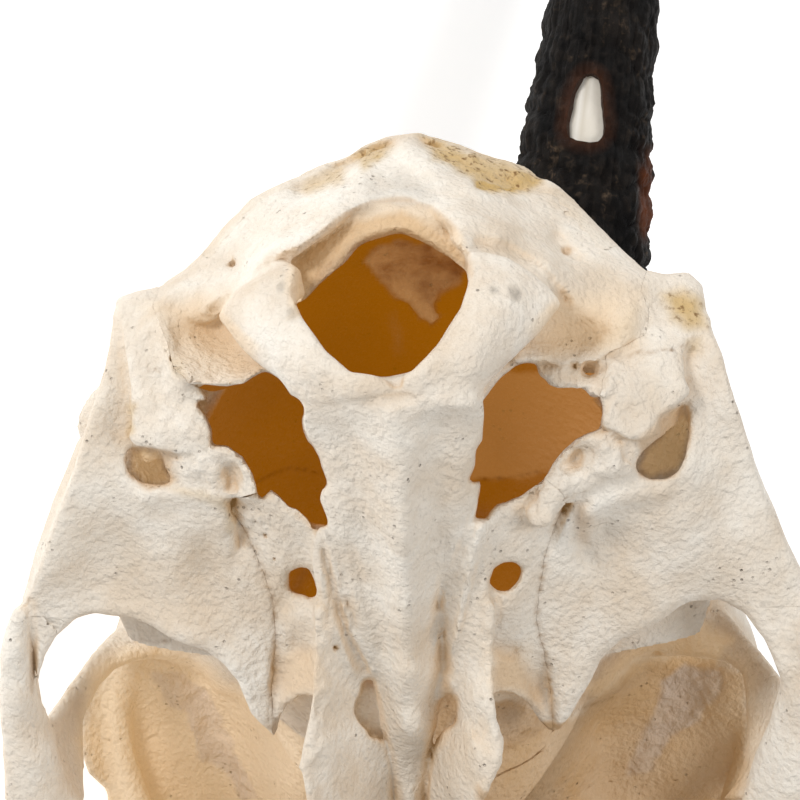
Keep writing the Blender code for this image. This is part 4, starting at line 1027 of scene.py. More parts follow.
def palate(wax, side):
    wax.add([hull(mirrored(side, TOOTH_BEARER), 2.9, 2)], 2.0)
    wax.add(flakes(mirrored(side, CHOANA), CHOANA_PLATES, 1.0), 1.2)
    wax.add(flakes(mirrored(side, MOUTH_ROOF), MOUTH_ROOF_PLATES, 1.2), 1.2)


def muzzle(wax, side):
    wax.add(rods(balls(side, PREMAXILLA)), 2.0)
    wax.add(rods(balls(side, PREMAXILLA_INNER)), 1.0)
    wax.add([hull(mirrored(side, NOSTRIL_WING), 1.2, 1)], 2.0)
    wax.add([hull(mirrored(side, NASAL_BACK), 1.8, 1),
             hull(mirrored(side, NASAL_FRONT), 1.3, 1)], 1.2)


def tooth_lobe(x, y, z, length, width, crown, tilt):
    """One lobe: a high outer cusp, a lower inner one, and a valley worn between them."""
    out = 1 if x > 0 else -1
    points = [(x + out * dx * width, y + dy * length, z + 2.4) for dx in (-0.42, 0.42)
              for dy in (-0.44, 0.44)]
    points += [(x + out * dx * width, y + dy * length, z - crown * 0.5) for dx in (-0.48, 0.48)
               for dy in (-0.46, 0.46)]
    points += [(x + out * 0.42 * width, y - 0.34 * length, z - crown * 0.88 + tilt),
               (x + out * 0.38 * width, y + 0.04 * length, z - crown * 1.04),
               (x + out * 0.42 * width, y + 0.38 * length, z - crown * 0.86 - tilt),
               (x - out * 0.40 * width, y - 0.10 * length, z - crown * 0.86),
               (x - out * 0.36 * width, y + 0.28 * length, z - crown * 0.82)]
    valley = egg((x, y, z - crown * 1.0), (width * 0.16, length * 0.34, crown * 0.16))
    return hull(points, 0.25, 0.4), valley


def cheek_teeth(wax, side, dice):
    y = TOOTH_ROW[1]
    for number, (length, width) in enumerate(zip(TOOTH_LENGTHS, TOOTH_WIDTHS)):
        lobes = 1 if number < PREMOLARS else 2
        for n in range(lobes):
            t = (TOOTH_ROW[1] - y) / (TOOTH_ROW[1] - TOOTH_ROW[0])
            x = 12.0 + 5.4 * min(1, t * 1.5) ** 0.8
            part = length / lobes
            shape, valley = tooth_lobe(side * (x + dice.uniform(-0.15, 0.15)), y - part / 2,
                                       -5.6 + 1.4 * (1 - t) - 0.3 * n, part * 0.97, width,
                                       CROWN_HEIGHT + dice.uniform(-CROWN_WEAR, CROWN_WEAR),
                                       dice.uniform(-0.3, 0.3))
            wax.add([shape], 0.25)
            wax.scoop([valley], 0.4)
            y -= part


# %% [markdown]
# ## Scooping the hollows
#
# The braincase, the nose, the sockets and the great hole are scooped out last, and with them the
# holes that broke open when the ear bulbs fell away. Their outlines are drawn as they are seen.

# %% Hollows and holes
def vault_room(wax):
    low, high, main = egg(VAULT_CENTRE, [r - VAULT_WALL for r in VAULT_RADII])
    _, front_high, front = egg(*FRONT_ROOM)
    wax.scoop([(low, np.maximum(high, front_high),
                lambda x, y, z: soft_min(main(x, y, z), front(x, y, z), 3.0))], 0.6)


GREAT_HOLE = [(291, 290), (300, 316), (326, 352), (350, 373), (385, 377), (411, 372), (438, 345),
              (461, 309), (470, 282), (466, 270), (450, 258), (425, 246), (400, 240), (362, 246),
              (345, 262), (320, 285), (306, 300), (298, 304)]
LIP = [(291, 290, -2.8), (293, 268, -3.2), (325, 244, -3.6), (350, 225, -3.8), (375, 214, -3.8),
       (402, 211, -3.8), (425, 219, -3.8), (445, 235, -3.6), (469, 262, -3.0)]
LIP_INNER = [(299, 312, 1.0), (320, 285, 2.0), (345, 262, 2.5), (362, 247, 2.8), (400, 240, 3.0),
             (425, 246, 2.8), (450, 258, 2.4), (468, 275, 1.0)]


def great_hole(wax):
    rim = np.array([spot(*row) for row in LIP])
    inner = np.array([spot(*row) for row in LIP_INNER])
    wax.scoop([hull(list(rim - LOOK * 3.0) + list(rim) + list(inner), 0.0, 0.3)], 0.5)
    wax.scoop([swept(GREAT_HOLE, (-12, -9, -3), (12, 14, 28), 0.0, 21)], 0.6)


LEFT_GAP = [(197, 384), (225, 386), (243, 383), (252, 377), (262, 371), (270, 372), (279, 377),
            (285, 384), (290, 394), (299, 399), (303, 403), (305, 412), (302, 420), (303, 428),
            (308, 440), (314, 446), (320, 458), (323, 470), (328, 485), (322, 490), (320, 500),
            (326, 514), (329, 527), (313, 527), (307, 518), (297, 508), (290, 507), (280, 496),
            (271, 489), (266, 494), (261, 501), (256, 484), (249, 467), (240, 455), (228, 446),
            (212, 445), (211, 430), (205, 415), (196, 403), (203, 400), (211, 405), (204, 393)]
RIGHT_GAP = [(480, 403), (484, 415), (483, 430), (482, 440), (476, 449), (474, 466), (471, 474),
             (468, 480), (473, 483), (481, 481), (478, 500), (474, 519), (487, 520), (490, 512),
             (497, 505), (507, 503), (512, 499), (520, 496), (532, 488), (540, 482), (545, 480),
             (553, 463), (563, 451), (575, 440), (588, 434), (600, 429), (603, 412), (600, 399),
             (583, 387), (570, 387), (556, 388), (549, 379), (541, 375), (537, 363), (528, 361),
             (515, 365), (500, 378), (486, 396)]


CRUST = [(366, 262, 21.6), (372, 250, 20.6), (395, 236, 19.6), (430, 238, 19.6), (466, 250, 20.6),
         (468, 268, 21.4), (458, 284, 22.6), (442, 292, 23.2), (432, 304, 23.8), (441, 316, 24.4),
         (432, 326, 25.0), (420, 318, 24.8), (408, 300, 23.6), (396, 296, 23.6), (386, 283, 22.8),
         (376, 276, 22.4)]


def crust(wax):
    """A flaky crust on the roof of the braincase, seen through the great hole."""
    wax.add([sheet(CRUST, [(425, 275, 21.8)], 3.0, 0.4, 0.25, 0.35, 23)], 0.4)


def base_holes(wax):
    wax.scoop([swept(LEFT_GAP, (-24, 2, -2), (-4, 26, 17), 0.03, 31),
               swept(RIGHT_GAP, (4, 2, -2), (24, 26, 17), 0.03, 32)], 0.2)
    wax.scoop([swept(LEFT_OVAL, (-14, 20, -2), (-5, 44, 15), 0.02, 33),
               swept(RIGHT_OVAL, (5, 20, -2), (14, 44, 15), 0.02, 34)], 0.6)


# %% Grooves, ridges and small holes
GROOVES = (
    ([(480, 243), (510, 249), (540, 268), (566, 300)], 0.5, 0.7, (7, -6, 8), (18, 8, 20)),
    ([(290, 256), (258, 268), (232, 284), (214, 308)], 0.5, 0.7, (-19, -6, 6), (-8, 8, 18)),
    ([(294, 258), (325, 236), (350, 217), (376, 205), (402, 202), (428, 210), (452, 230)],
     0.7, 0.45, (-11, -6, 10), (9, 4, 26)),
    ([(300, 189), (318, 181), (338, 172)], 0.9, 0.7, (-12, -2, 22), (0, 10, 42)),
    ([(352, 158), (370, 151), (388, 146)], 0.9, 0.7, (-8, -2, 26), (4, 10, 42)),
    ([(424, 140), (440, 154), (462, 166), (490, 178), (520, 184), (538, 186)], 0.9, 0.7,
     (0, -2, 20), (18, 10, 42)),
    ([(470, 187), (485, 192), (505, 194)], 0.8, -0.5, (4, -2, 18), (14, 10, 36)),
    ([(478, 182), (500, 187), (520, 188)], 0.4, 0.5, (4, -2, 18), (16, 10, 36)),
    ([(146, 496), (180, 496), (206, 499), (224, 508), (231, 522)], 0.9, -0.75, (-30, 14, 4),
     (-14, 34, 20)),
    ([(212, 556), (216, 590), (226, 630)], 1.9, 0.4, (-26, 22, 0), (-12, 44, 20)),
    ([(664, 494), (630, 498), (604, 503), (588, 512), (584, 530)], 0.9, -0.75, (14, 14, 4),
     (30, 34, 20)),
    ([(602, 548), (596, 590), (584, 640)], 1.9, 0.5, (12, 22, 0), (26, 44, 20)),
    ([(324, 530), (336, 580), (352, 632), (372, 672)], 0.28, -0.45, (-10, 20, -4), (2, 50, 10)),
    ([(318, 540), (326, 590), (340, 640), (352, 672)], 0.28, -0.4, (-10, 20, -4), (0, 50, 10)),
    ([(478, 530), (466, 590), (452, 650)], 0.28, -0.45, (0, 20, -4), (12, 50, 10)),
    ([(470, 540), (458, 590), (446, 640)], 0.28, -0.4, (0, 20, -4), (12, 50, 10)),
    ([(229, 503), (236, 518), (240, 535), (238, 552), (233, 570)], 0.6, 0.45, (-26, 18, 2),
     (-14, 38, 20)),
    ([(581, 505), (578, 520), (581, 537), (588, 560)], 0.8, 0.6, (12, 16, 2), (24, 38, 20)),
    ([(570, 505), (556, 530), (549, 552)], 0.4, 0.3, (8, 16, 2), (22, 38, 20)),
    ([(205, 545), (208, 575), (214, 600)], 1.6, 0.5, (-26, 22, 2), (-14, 44, 20)),
    ([(605, 505), (640, 502), (668, 498)], 1.4, 0.5, (14, 16, 2), (30, 38, 20)),
    ([(226, 258), (232, 264), (240, 268)], 0.6, 0.5, (-20, -2, 10), (-10, 10, 34)),
    ([(556, 238), (565, 250), (576, 256)], 0.8, 0.7, (8, -2, 10), (20, 10, 34)),
    ([(170, 310), (178, 335), (183, 350)], 0.7, 0.4, (-26, 2, 2), (-18, 14, 20)),
    ([(297, 645), (305, 652)], 0.9, 0.7, (-14, 34, 0), (-4, 50, 14)),
    ([(503, 650), (510, 652)], 0.9, 0.9, (4, 34, 0), (16, 50, 14)),
    ([(292, 590), (286, 604)], 1.0, 0.6, (-16, 26, 0), (-6, 44, 14)))
PINHOLES = (((232, 264), 4.6, 0.42), ((567, 251), 4.6, 0.5), ((657, 655), 67.0, 0.55),
            ((590, 369), 9.6, 0.8), ((575, 366), 9.2, 0.45), ((334, 648), 37.0, 0.35),
            ((275, 558), 29.4, 0.2), ((265, 535), 26.4, 0.22), ((255, 520), 24.6, 0.2))


KEEL_BOX = ((-12, 2, -8), (12, 50, 8))


def grooves(wax):
    for row in KEEL_LINES:
        scrape(wax, *row, *KEEL_BOX)
    for row in GROOVES:
        scrape(wax, *row)
    for (px, py), y, radius in PINHOLES:
        middle = spot(px, py, y)
        wax.scoop([rod(middle - LOOK * 1.5, middle + LOOK * 2.2, radius, radius * 0.8)], 0.3)


FACE_PIT, FACE_PIT_RADII = (24.4, 105, 22), (6.4, 8.5, 8.5)
NOSE_SECTIONS = [((0, 50, -5), 4.2, 4.0), ((0, 64, -2.2), 5.2, 6.2), ((0, 76, 4), 7.5, 7.5),
                 ((0, 92, 14), 10.4, 14.4), ((0, 112, 12.4), 10.8, 14.6),
                 ((0, 128, 9.5), 8.6, 12.4), ((0, 150, 9.5), 6.8, 10.4)]
NOSE_MOUTH = [(0, 140, 14), (0, 170, 8), (0, 150, 6), (0, 170, 30)]


def face_pits(wax):
    for side in SIDES:
        wax.scoop([egg(*mirrored(side, [FACE_PIT]), FACE_PIT_RADII)], 2.5)


def nose_room(wax):
    wax.scoop(tube(NOSE_SECTIONS), 1.0)
    wax.scoop([hull(NOSE_MOUTH, 5.8, 2)], 1.0)


# %% [markdown]
# ## Modelling the whole skull
#
# The order matters: soft masses first, then the muscle hollows, then the crisp ridges and plates,
# and the rooms and holes last.

# %% The whole skull in wax
CUBE = 0.4
SEED = 7
SKULL_LOW = (-43, -7, -16)
SKULL_HIGH = (43, 166, 58)


def model_skull():
    dice = random.Random(SEED)
    wax = Wax(SKULL_LOW, SKULL_HIGH, CUBE)
    vault(wax)
    face(wax)
    for side in SIDES:
        brow(wax, side)
        temple_hollow(wax, side)
    for side in SIDES:
        cheek(wax, side)
        palate(wax, side)
        muzzle(wax, side)
    shield(wax)
    temporal(wax)
    sphenoid(wax)
    keel(wax)
    neck_of_condyles(wax)
    fossae(wax)
    vault_room(wax)
    crust(wax)
    nose_room(wax)
    for side in SIDES:
        orbit_hollow(wax, side)
        socket_rim(wax, side)
    sockets(wax)
    arches(wax)
    condyles(wax)
    great_hole(wax)
    ears(wax)
    base_holes(wax)
    throat_plates(wax)
    grooves(wax)
    for side in SIDES:
        cheek_teeth(wax, side, dice)
    face_pits(wax)
    return wax


skull = model_skull()
print("cubes", skull.far.size, "of bone", int((skull.far < 0).sum()))

# %% [markdown]
# ## Sawing it into bones
#
# A skull is a puzzle of bones that meet in sutures. Each bone is the wax inside its own region,
# less the regions before it, with a hair's breadth between them. The regions are outlines in the
# side view, frayed by noise where the real sutures wander.

# %% Regions of the bones, as outlines of y and z seen from the side
SUTURE = 0.02
BONES = [
    ("nasal", [(94, 60), (93, 40), (116, 28), (146, 20), (150, 40), (120, 60)], 0, True),
    ("premaxilla", [(150, 40), (146, 22), (129, 21), (134, 4), (127, -10), (180, -12), (180, 40)],
     0, True),
    ("lacrimal", [(88, 38), (98, 37), (106, 30), (107, 16), (98, 10), (86, 12), (82, 24)], 9, True),
    ("jugal", [(34, 0), (38, 9.2), (46, 9.4), (56, 10.6), (53, 17), (60, 22), (72, 9), (86, 12),
               (98, 10), (101, 4), (88, -3), (72, -2.6), (40, -8)], 17.5, True),
    ("maxilla", [(68, -30), (68, -6), (74, 6), (86, 12), (98, 10), (107, 16), (106, 30), (98, 37),
                 (92, 60), (150, 60), (150, -30)], 0, True),
    ("frontal", [(60, 14), (58, 21), (53, 17), (52, 26), (40, 34), (38, 70), (20, 160), (110, 120),
                 (112, 8), (74, 6)], 0, True),
    ("temporal", [(8.5, 60), (6.6, 26), (4.4, 18), (6, 4), (20, -6), (60, 0), (60, 20), (46, 28),
                  (34, 33), (20, 33)], 6.0, True),
    ("parietal", [(6.4, 60), (5.2, 34), (6.6, 26), (8.5, 30), (34, 30), (46, 24), (60, 22),
                  (60, 60)], -60, False),
    ("occipital", [(-20, -20), (23.5, -20), (23.5, 5.5), (14, 9), (9.5, 24), (9.5, 60), (-20, 60)],
     -60, False),
    ("palatine", [(61.3, -40), (61.3, 30), (110, 60), (110, -40)], 0, True),
    ("sphenoid", [(0, -40), (61, -40), (61, 30), (60, 60), (0, 60)], -60, False),
]
NASAL_HALF_WIDTH = 7.2
WAVER = 0.5
JUGAL_LEAN = 0.227
# What lies towards the middle of the temporal bones' seams, as seen.
LEFT_MIDDLE = [(150, 60), (158, 290), (152, 305), (160, 325), (168, 345), (174, 368), (190, 384),
               (212, 392), (262, 380), (300, 400), (262, 492), (232, 500), (228, 505), (232, 512),
               (245, 530), (262, 570), (273, 600), (276, 640), (272, 690), (273, 735), (275, 1100),
               (500, 1100), (500, 60)]
RIGHT_MIDDLE = [(650, 60), (648, 268), (640, 290), (650, 310), (645, 335), (612, 352), (606, 357),
                (600, 399), (560, 400), (500, 420), (545, 478), (566, 498), (560, 515), (552, 535),
                (545, 560), (540, 590), (537, 620), (543, 650), (550, 690), (553, 728), (553, 1100),
                (300, 1100), (300, 60)]
seams = {-1: outline_field(LEFT_MIDDLE, 0.08, 151), 1: outline_field(RIGHT_MIDDLE, 0.08, 153)}


# %% Each bone's share of the wax
def region_distance(x, y, z, name, outline, low, side):
    """Below zero inside the prism over the outline; side 0 means that it spans both sides."""
    v = y + WAVER * noise(0 * y, y, z, 2.6, 5) + 0.2 * noise(0 * y, y, z, 0.9, 6)
    w = z + WAVER * noise(0 * y, y, z, 2.6, 8)
    far = polygon_distance(v, w, outline)
    if name == "temporal":
        u, v, _ = seen(x, y, z)
        far = np.maximum(far, -read_off(seams[side], u, v))
    lean = JUGAL_LEAN * (95 - y) if name == "jugal" else 0
    if side:
        far = np.maximum(far, low + lean + SUTURE / 2 - x * side)
    if name == "nasal":
        far = np.maximum(far, x * side - NASAL_HALF_WIDTH)
    return far


def all_regions():
    """(name, distance rule, low and high corner) of each bone, in the order of the sawing."""
    made = []
    for name, outline, low, paired in BONES:
        ys, zs = zip(*outline)
        for side in (SIDES if paired else (0,)):
            label = f"{name}_{'right' if side > 0 else 'left'}" if paired else name
            reach = SKULL_HIGH[0]
            x0, x1 = {0: (-reach, reach), 1: (low, reach), -1: (-reach, -low)}[side]
            made.append((label, lambda x, y, z, n=name, o=outline, lo=low, s=side:
                         region_distance(x, y, z, n, o, lo, s),
                         (x0, min(ys), min(zs)), (x1, max(ys), max(zs))))
    return made


def share_of(number, regions, wax):
    """The window of wax round one bone, and the distance to the bone's region in it."""
    _, rule, low, high = regions[number]
    cut, x, y, z = wax.window(low, high, 1)
    own = rule(x, y, z) + SUTURE / 2
    for _, other, other_low, other_high in regions[:number]:
        if (np.array(other_low) < np.array(high)).all() and (np.array(low) < other_high).all():
            own = np.maximum(own, SUTURE / 2 - other(x, y, z))
    far = wax.far[cut]
    corner = np.array([axis.ravel()[0] for axis in (x, y, z)])
    return far, np.broadcast_to(own, far.shape), corner


# %% [markdown]
# ## From cubes to a skin
#
# The skin gets one point in each cube that the surface passes through, at the mean of the places
# where it crosses the cube's edges, and one four-sided face for each edge that it crosses. Points
# near a saw cut are then pulled onto both surfaces at once, so that the cut stays crisp.

# %% Surface nets
CORNERS = [(i, j, k) for i in (0, 1) for j in (0, 1) for k in (0, 1)]
EDGES = [(a, b) for a in range(8) for b in range(a + 1, 8)
         if sum(p != q for p, q in zip(CORNERS[a], CORNERS[b])) == 1]


def skin_of(far):
    """Points in cubes, and faces, of the surface where far is zero."""
    far = np.pad(far, 1, constant_values=1.0)
    bone = far < 0
    counts = np.zeros(tuple(n - 1 for n in far.shape), np.int8)
    for i, j, k in CORNERS:
        counts += bone[i:i + counts.shape[0], j:j + counts.shape[1], k:k + counts.shape[2]]
    cells = np.argwhere((counts > 0) & (counts < 8))
    index = np.full(counts.shape, -1, np.int64)
    index[tuple(cells.T)] = np.arange(len(cells))
    values = [far[tuple((cells + c).T)] for c in CORNERS]
    total = np.zeros((len(cells), 3))
    crossings = np.zeros(len(cells))
    for a, b in EDGES:
        va, vb = values[a], values[b]
        crosses = (va < 0) != (vb < 0)
        t = np.where(crosses, va / np.where(crosses, va - vb, 1), 0)
        step = np.array(CORNERS[b]) - CORNERS[a]
        total += crosses[:, None] * (np.array(CORNERS[a]) + t[:, None] * step)
        crossings += crosses
    points = cells + total / crossings[:, None] - 1
    faces = []
    for axis in range(3):
        u, v = [a for a in range(3) if a != axis]
        first = [slice(1, -1)] * 3
        first[axis] = slice(0, -1)
        second = list(first)
        second[axis] = slice(1, None)
        here, there = bone[tuple(first)], bone[tuple(second)]
        for leaving in (True, False):
            at = np.argwhere(here & ~there if leaving else ~here & there)
            at[:, u] += 1
            at[:, v] += 1
            ring = []
            for du, dv in ((0, 0), (-1, 0), (-1, -1), (0, -1)):
                cell = at.copy()
                cell[:, u] += du
                cell[:, v] += dv
                ring.append(index[tuple(cell.T)])
            ring = np.stack(ring, axis=1)
            turned = leaving == (axis == 1)
            faces.append(ring[:, ::-1] if turned else ring)
    return points, np.concatenate(faces)


def sample(far, at):
    """The value of the grid between its points."""
    top = np.array(far.shape) - 1.001
    at = np.clip(at, 0, top)
    base = np.floor(at).astype(int)
    t = at - base
    total = 0
    for i, j, k in CORNERS:
        share = ((t[:, 0] if i else 1 - t[:, 0]) * (t[:, 1] if j else 1 - t[:, 1])
                 * (t[:, 2] if k else 1 - t[:, 2]))
        total = total + share * far[base[:, 0] + i, base[:, 1] + j, base[:, 2] + k]
    return total


def slope(far, at, reach=0.6):
    rise = [sample(far, at + reach * np.eye(3)[a]) - sample(far, at - reach * np.eye(3)[a])
            for a in range(3)]
    return np.stack(rise, axis=1) / (2 * reach)


def crisp(points, far, own, cube):
    """Pulls each point onto the wax, onto the saw cut, or onto both where they meet."""
    for _ in range(2):
        a, b = sample(far, points), sample(own, points)
        ga, gb = slope(far, points), slope(own, points)
        aa, bb, ab = (ga * ga).sum(1), (gb * gb).sum(1), (ga * gb).sum(1)
        only_a = a >= b
        both = (np.abs(a) < 0.9 * cube) & (np.abs(b) < 0.9 * cube)
        spread = aa * bb - ab * ab
        both &= spread > 0.05 * aa * bb
        safe = np.where(both, spread, 1)
        ka = np.where(both, (bb * a - ab * b) / safe, np.where(only_a, a / np.maximum(aa, 1e-4), 0))
        kb = np.where(both, (aa * b - ab * a) / safe, np.where(only_a, 0, b / np.maximum(bb, 1e-4)))
        move = -(ga * ka[:, None] + gb * kb[:, None])
        size = np.linalg.norm(move, axis=1, keepdims=True)
        points = points + move * np.minimum(1, 0.6 / np.maximum(size, 1e-6))
    return points


def largest_body(points, faces):
    """Drops the crumbs: only the faces of the largest connected body are kept."""
    label = np.arange(len(points))
    pairs = np.concatenate([faces[:, [0, 1]], faces[:, [1, 2]], faces[:, [2, 3]]])
    while True:
        low = np.minimum(label[pairs[:, 0]], label[pairs[:, 1]])
        before = label.copy()
        np.minimum.at(label, pairs[:, 0], low)
        np.minimum.at(label, pairs[:, 1], low)
        label = label[label]
        if (label == before).all():
            break
    names, sizes = np.unique(label, return_counts=True)
    kept = label == names[sizes.argmax()]
    renumber = np.cumsum(kept) - 1
    return points[kept], renumber[faces[kept[faces[:, 0]]]]


# %% [markdown]
# ## Marks for the finish
#
# Old bone is not one colour, and light and shade are painted onto it as well. The braincase is
# painted amber inside and glows, which is painted light and shade; muscle pits on the crest are
# ochre; hollows and creases get painted shade; places that lie in shadow get a painted tan shade,
# and sockets and hollows a painted warm light; and some places are spongy where the smooth skin of
# the bone has weathered away. Each point gets a number for each of these marks, which the material
# reads.

# %% Marks
def fade(far, soft):
    """One well inside, zero outside, soft between."""
    t = np.clip(0.5 - far / (2 * soft), 0, 1)
    return t * t * (3 - 2 * t)


# Colours laid on as they are seen: (outline, softness in mm, strength, least and greatest y).
PAINT = {
    "ochre": [
        ([(298, 192), (312, 178), (335, 170), (345, 164), (340, 180), (322, 190)],
         0.7, 0.7, -9, 12),
        ([(352, 156), (362, 148), (385, 142), (392, 146), (384, 156), (364, 166)],
         0.7, 1.0, -9, 12),
        ([(416, 133), (426, 134), (445, 143), (470, 152), (500, 160), (530, 170), (545, 181),
          (530, 192), (505, 191), (480, 184), (455, 168), (432, 158)], 0.6, 1.0, -9, 12),
        ([(476, 180), (500, 184), (520, 187), (516, 192), (492, 191), (478, 187)],
         0.3, 1.5, -9, 12),
        ([(664, 296), (684, 290), (700, 300), (706, 325), (690, 330), (672, 318)], 1.0, 0.9, 0, 16),
        ([(688, 340), (700, 338), (700, 352), (690, 352)], 0.7, 0.5, 0, 20),
        ([(128, 405), (134, 405), (133, 432), (127, 436)], 0.4, 0.7, 0, 24),
        ([(172, 356), (184, 362), (184, 378), (173, 374)], 0.5, 0.4, 0, 20),
        ([(170, 488), (205, 490), (228, 500), (236, 520), (230, 530), (222, 508), (190, 497)], 0.5,
         0.35, 10, 40),
        ([(596, 340), (640, 300), (634, 334), (604, 352)], 0.8, 0.15, 0, 20)],
    # tan: painted shade, laid on as seen where shade falls: the fossae beside the condyles, the
    # bevel of the great hole, the hollows by the oval holes, the valley beside the right jaw joint,
    # the ear pits, the throat and the sockets, the right one most.
    "tan": [
        ([(166, 306), (200, 300), (222, 312), (250, 350), (262, 368), (240, 374), (200, 350),
          (178, 335)], 1.4, 0.55, 0, 20),
        ([(556, 310), (600, 312), (612, 330), (590, 352), (548, 352), (530, 345)],
         1.2, 0.75, 0, 20),
        ([(294, 262), (325, 240), (360, 222), (402, 212), (440, 232), (470, 262), (472, 276),
          (450, 258), (402, 240), (360, 246), (322, 286), (300, 312)], 0.4, 0.9, -9, 12),
        ([(300, 645), (316, 648), (318, 690), (290, 700), (280, 715), (276, 680), (286, 655)], 0.8,
         0.5, 30, 60),
        ([(495, 648), (516, 650), (535, 680), (545, 720), (520, 694), (494, 688)],
         0.8, 0.6, 30, 60),
        ([(575, 500), (585, 502), (592, 520), (588, 545), (574, 540)], 0.8, 0.5, 10, 40),
        ([(130, 448), (170, 452), (176, 482), (150, 490), (127, 474)], 0.4, 0.7, 12, 40),
        ([(640, 440), (662, 415), (690, 402), (690, 440), (676, 474), (640, 478)],
         0.5, 0.75, 12, 40),
        ([(480, 690), (572, 720), (632, 662), (690, 655), (745, 672), (748, 770), (720, 850),
          (480, 850)], 0.5, 1.0, 50, 110),
        ([(572, 712), (600, 660), (640, 628), (690, 600), (718, 601), (690, 640), (632, 660),
          (610, 690)], 0.5, 0.8, 50, 110),
        ([(630, 660), (690, 610), (722, 601), (782, 678), (746, 700), (720, 660), (660, 656)], 0.8,
         0.5, 50, 110),
        ([(80, 790), (83, 720), (115, 668), (150, 658), (190, 665), (240, 700), (320, 700),
          (320, 850), (80, 850)], 0.8, 0.30, 50, 110),
        ([(48, 722), (84, 690), (84, 800), (66, 800)], 0.8, 0.35, 50, 110),
        ([(445, 675), (458, 698), (458, 722), (440, 732), (432, 750), (436, 700)],
         0.3, 0.8, 40, 110)],
    "raw": [
        ([(150, 672), (175, 670), (205, 690), (225, 725), (245, 770), (262, 800), (240, 800),
          (225, 770), (200, 760), (195, 735), (185, 715), (170, 708)], 0.25, 1.0, 60, 110),
        ([(660, 680), (685, 664), (720, 672), (722, 690), (706, 705), (700, 725), (680, 728),
          (664, 745), (650, 770), (625, 780), (640, 740), (655, 712)], 0.25, 1.0, 60, 110)],
    "rough": [
        ([(170, 456), (212, 447), (240, 456), (258, 492), (225, 498), (175, 484)], 0.3, 1.0, 8, 30),
        ([(528, 505), (556, 462), (600, 432), (630, 445), (632, 470), (585, 490), (545, 526)], 0.3,
         1.0, 8, 30),
        ([(126, 380), (190, 390), (208, 440), (160, 450), (128, 430)], 0.5, 0.5, 4, 24),
        ([(228, 497), (256, 500), (276, 540), (280, 562), (268, 560), (246, 530)],
         0.4, 0.9, 15, 40),
        ([(536, 363), (612, 358), (612, 396), (590, 397), (548, 386)], 0.3, 0.9, 4, 20),
        ([(316, 600), (328, 600), (330, 690), (322, 740), (310, 770), (300, 768), (312, 730),
          (317, 680)], 0.3, 0.8, 24, 60),
        ([(486, 600), (492, 610), (492, 700), (502, 745), (500, 772), (488, 782), (490, 740),
          (482, 690)], 0.3, 0.8, 24, 60),
        ([(120, 305), (158, 302), (170, 340), (178, 372), (150, 372), (128, 350)],
         0.6, 0.25, 2, 16),
        ([(600, 300), (640, 298), (648, 330), (610, 352)], 0.5, 0.35, 2, 16),
        ([(612, 358), (684, 345), (688, 392), (640, 440), (602, 424)], 0.4, 0.3, 4, 20)],
    # warm: painted warm light and shade, a warmer tint with a faint glow, where light falls and
    # bounces in the sockets, the left one most, the ear pits, the fossae, the bevel of the great
    # hole and the sphenoid's hollows.
    "warm": [
        ([(92, 672), (120, 650), (170, 640), (205, 660), (228, 680), (262, 700), (300, 700),
          (320, 740), (325, 810), (96, 810), (80, 740)], 1.2, 0.62, 58, 110),
        ([(486, 690), (540, 700), (590, 690), (640, 640), (700, 630), (750, 660), (766, 740),
          (750, 810), (482, 810)], 1.2, 0.22, 58, 110),
        ([(640, 640), (700, 620), (732, 640), (716, 668), (650, 668), (600, 700), (580, 690)],
         0.8, 0.5, 58, 110),
        ([(132, 450), (158, 452), (165, 470), (172, 482), (145, 484), (132, 470)],
         0.4, 0.7, 15, 40),
        ([(682, 410), (688, 420), (686, 445), (676, 468), (650, 478), (640, 466), (662, 436)],
         0.4, 0.7, 15, 40),
        ([(150, 305), (230, 290), (260, 340), (240, 378), (180, 372)], 1.2, 0.32, 0, 16),
        ([(530, 300), (640, 290), (640, 350), (540, 360)], 1.2, 0.34, 0, 16),
        ([(288, 320), (288, 262), (330, 226), (376, 204), (430, 206), (466, 240), (470, 276),
          (440, 258), (400, 236), (350, 244), (312, 280), (300, 318)], 0.3, 0.4, -4, 12),
        ([(284, 655), (318, 650), (318, 696), (284, 700)], 1.6, 0.3, 34, 60),
        ([(488, 650), (528, 650), (530, 700), (492, 696)], 1.6, 0.3, 34, 60)],
    "crust": [([(366, 262), (372, 250), (395, 240), (430, 244), (458, 254), (466, 268), (458, 284),
                (442, 292), (432, 304), (441, 316), (432, 326), (420, 318), (408, 300), (396, 296),
                (386, 283), (376, 276)], 0.3, 0.85, 10, 40),
              ([(388, 318), (396, 310), (400, 330), (406, 352), (396, 356)], 0.5, 0.12, 10, 40)],
    "rosy": [([(470, 372), (620, 372), (620, 462), (541, 471), (520, 477), (500, 479), (470, 481)],
              0.25, 1.0, 10, 90)],
    # Small stains on the condyles, and a painted grey shade in the hollow middle of the shield,
    # down to the lip of the great hole.
    "stain_and_shade": [
        ([(488, 284), (496, 286), (498, 293), (490, 295)], 0.25, 0.9, -6, 8),
        ([(510, 286), (519, 290), (519, 300), (511, 297)], 0.3, 0.8, -6, 8),
        ([(276, 283), (283, 282), (284, 292), (278, 294)], 0.2, 0.7, -6, 8),
        ([(288, 308), (295, 308), (295, 318), (289, 320)], 0.2, 0.7, -6, 8),
        ([(350, 206), (380, 204), (380, 212), (352, 218)], 0.4, 0.35, -6, 4),
        ([(362, 185), (400, 172), (430, 185), (432, 202), (402, 198), (366, 206)],
         1.2, 0.28, -6, 8)]}
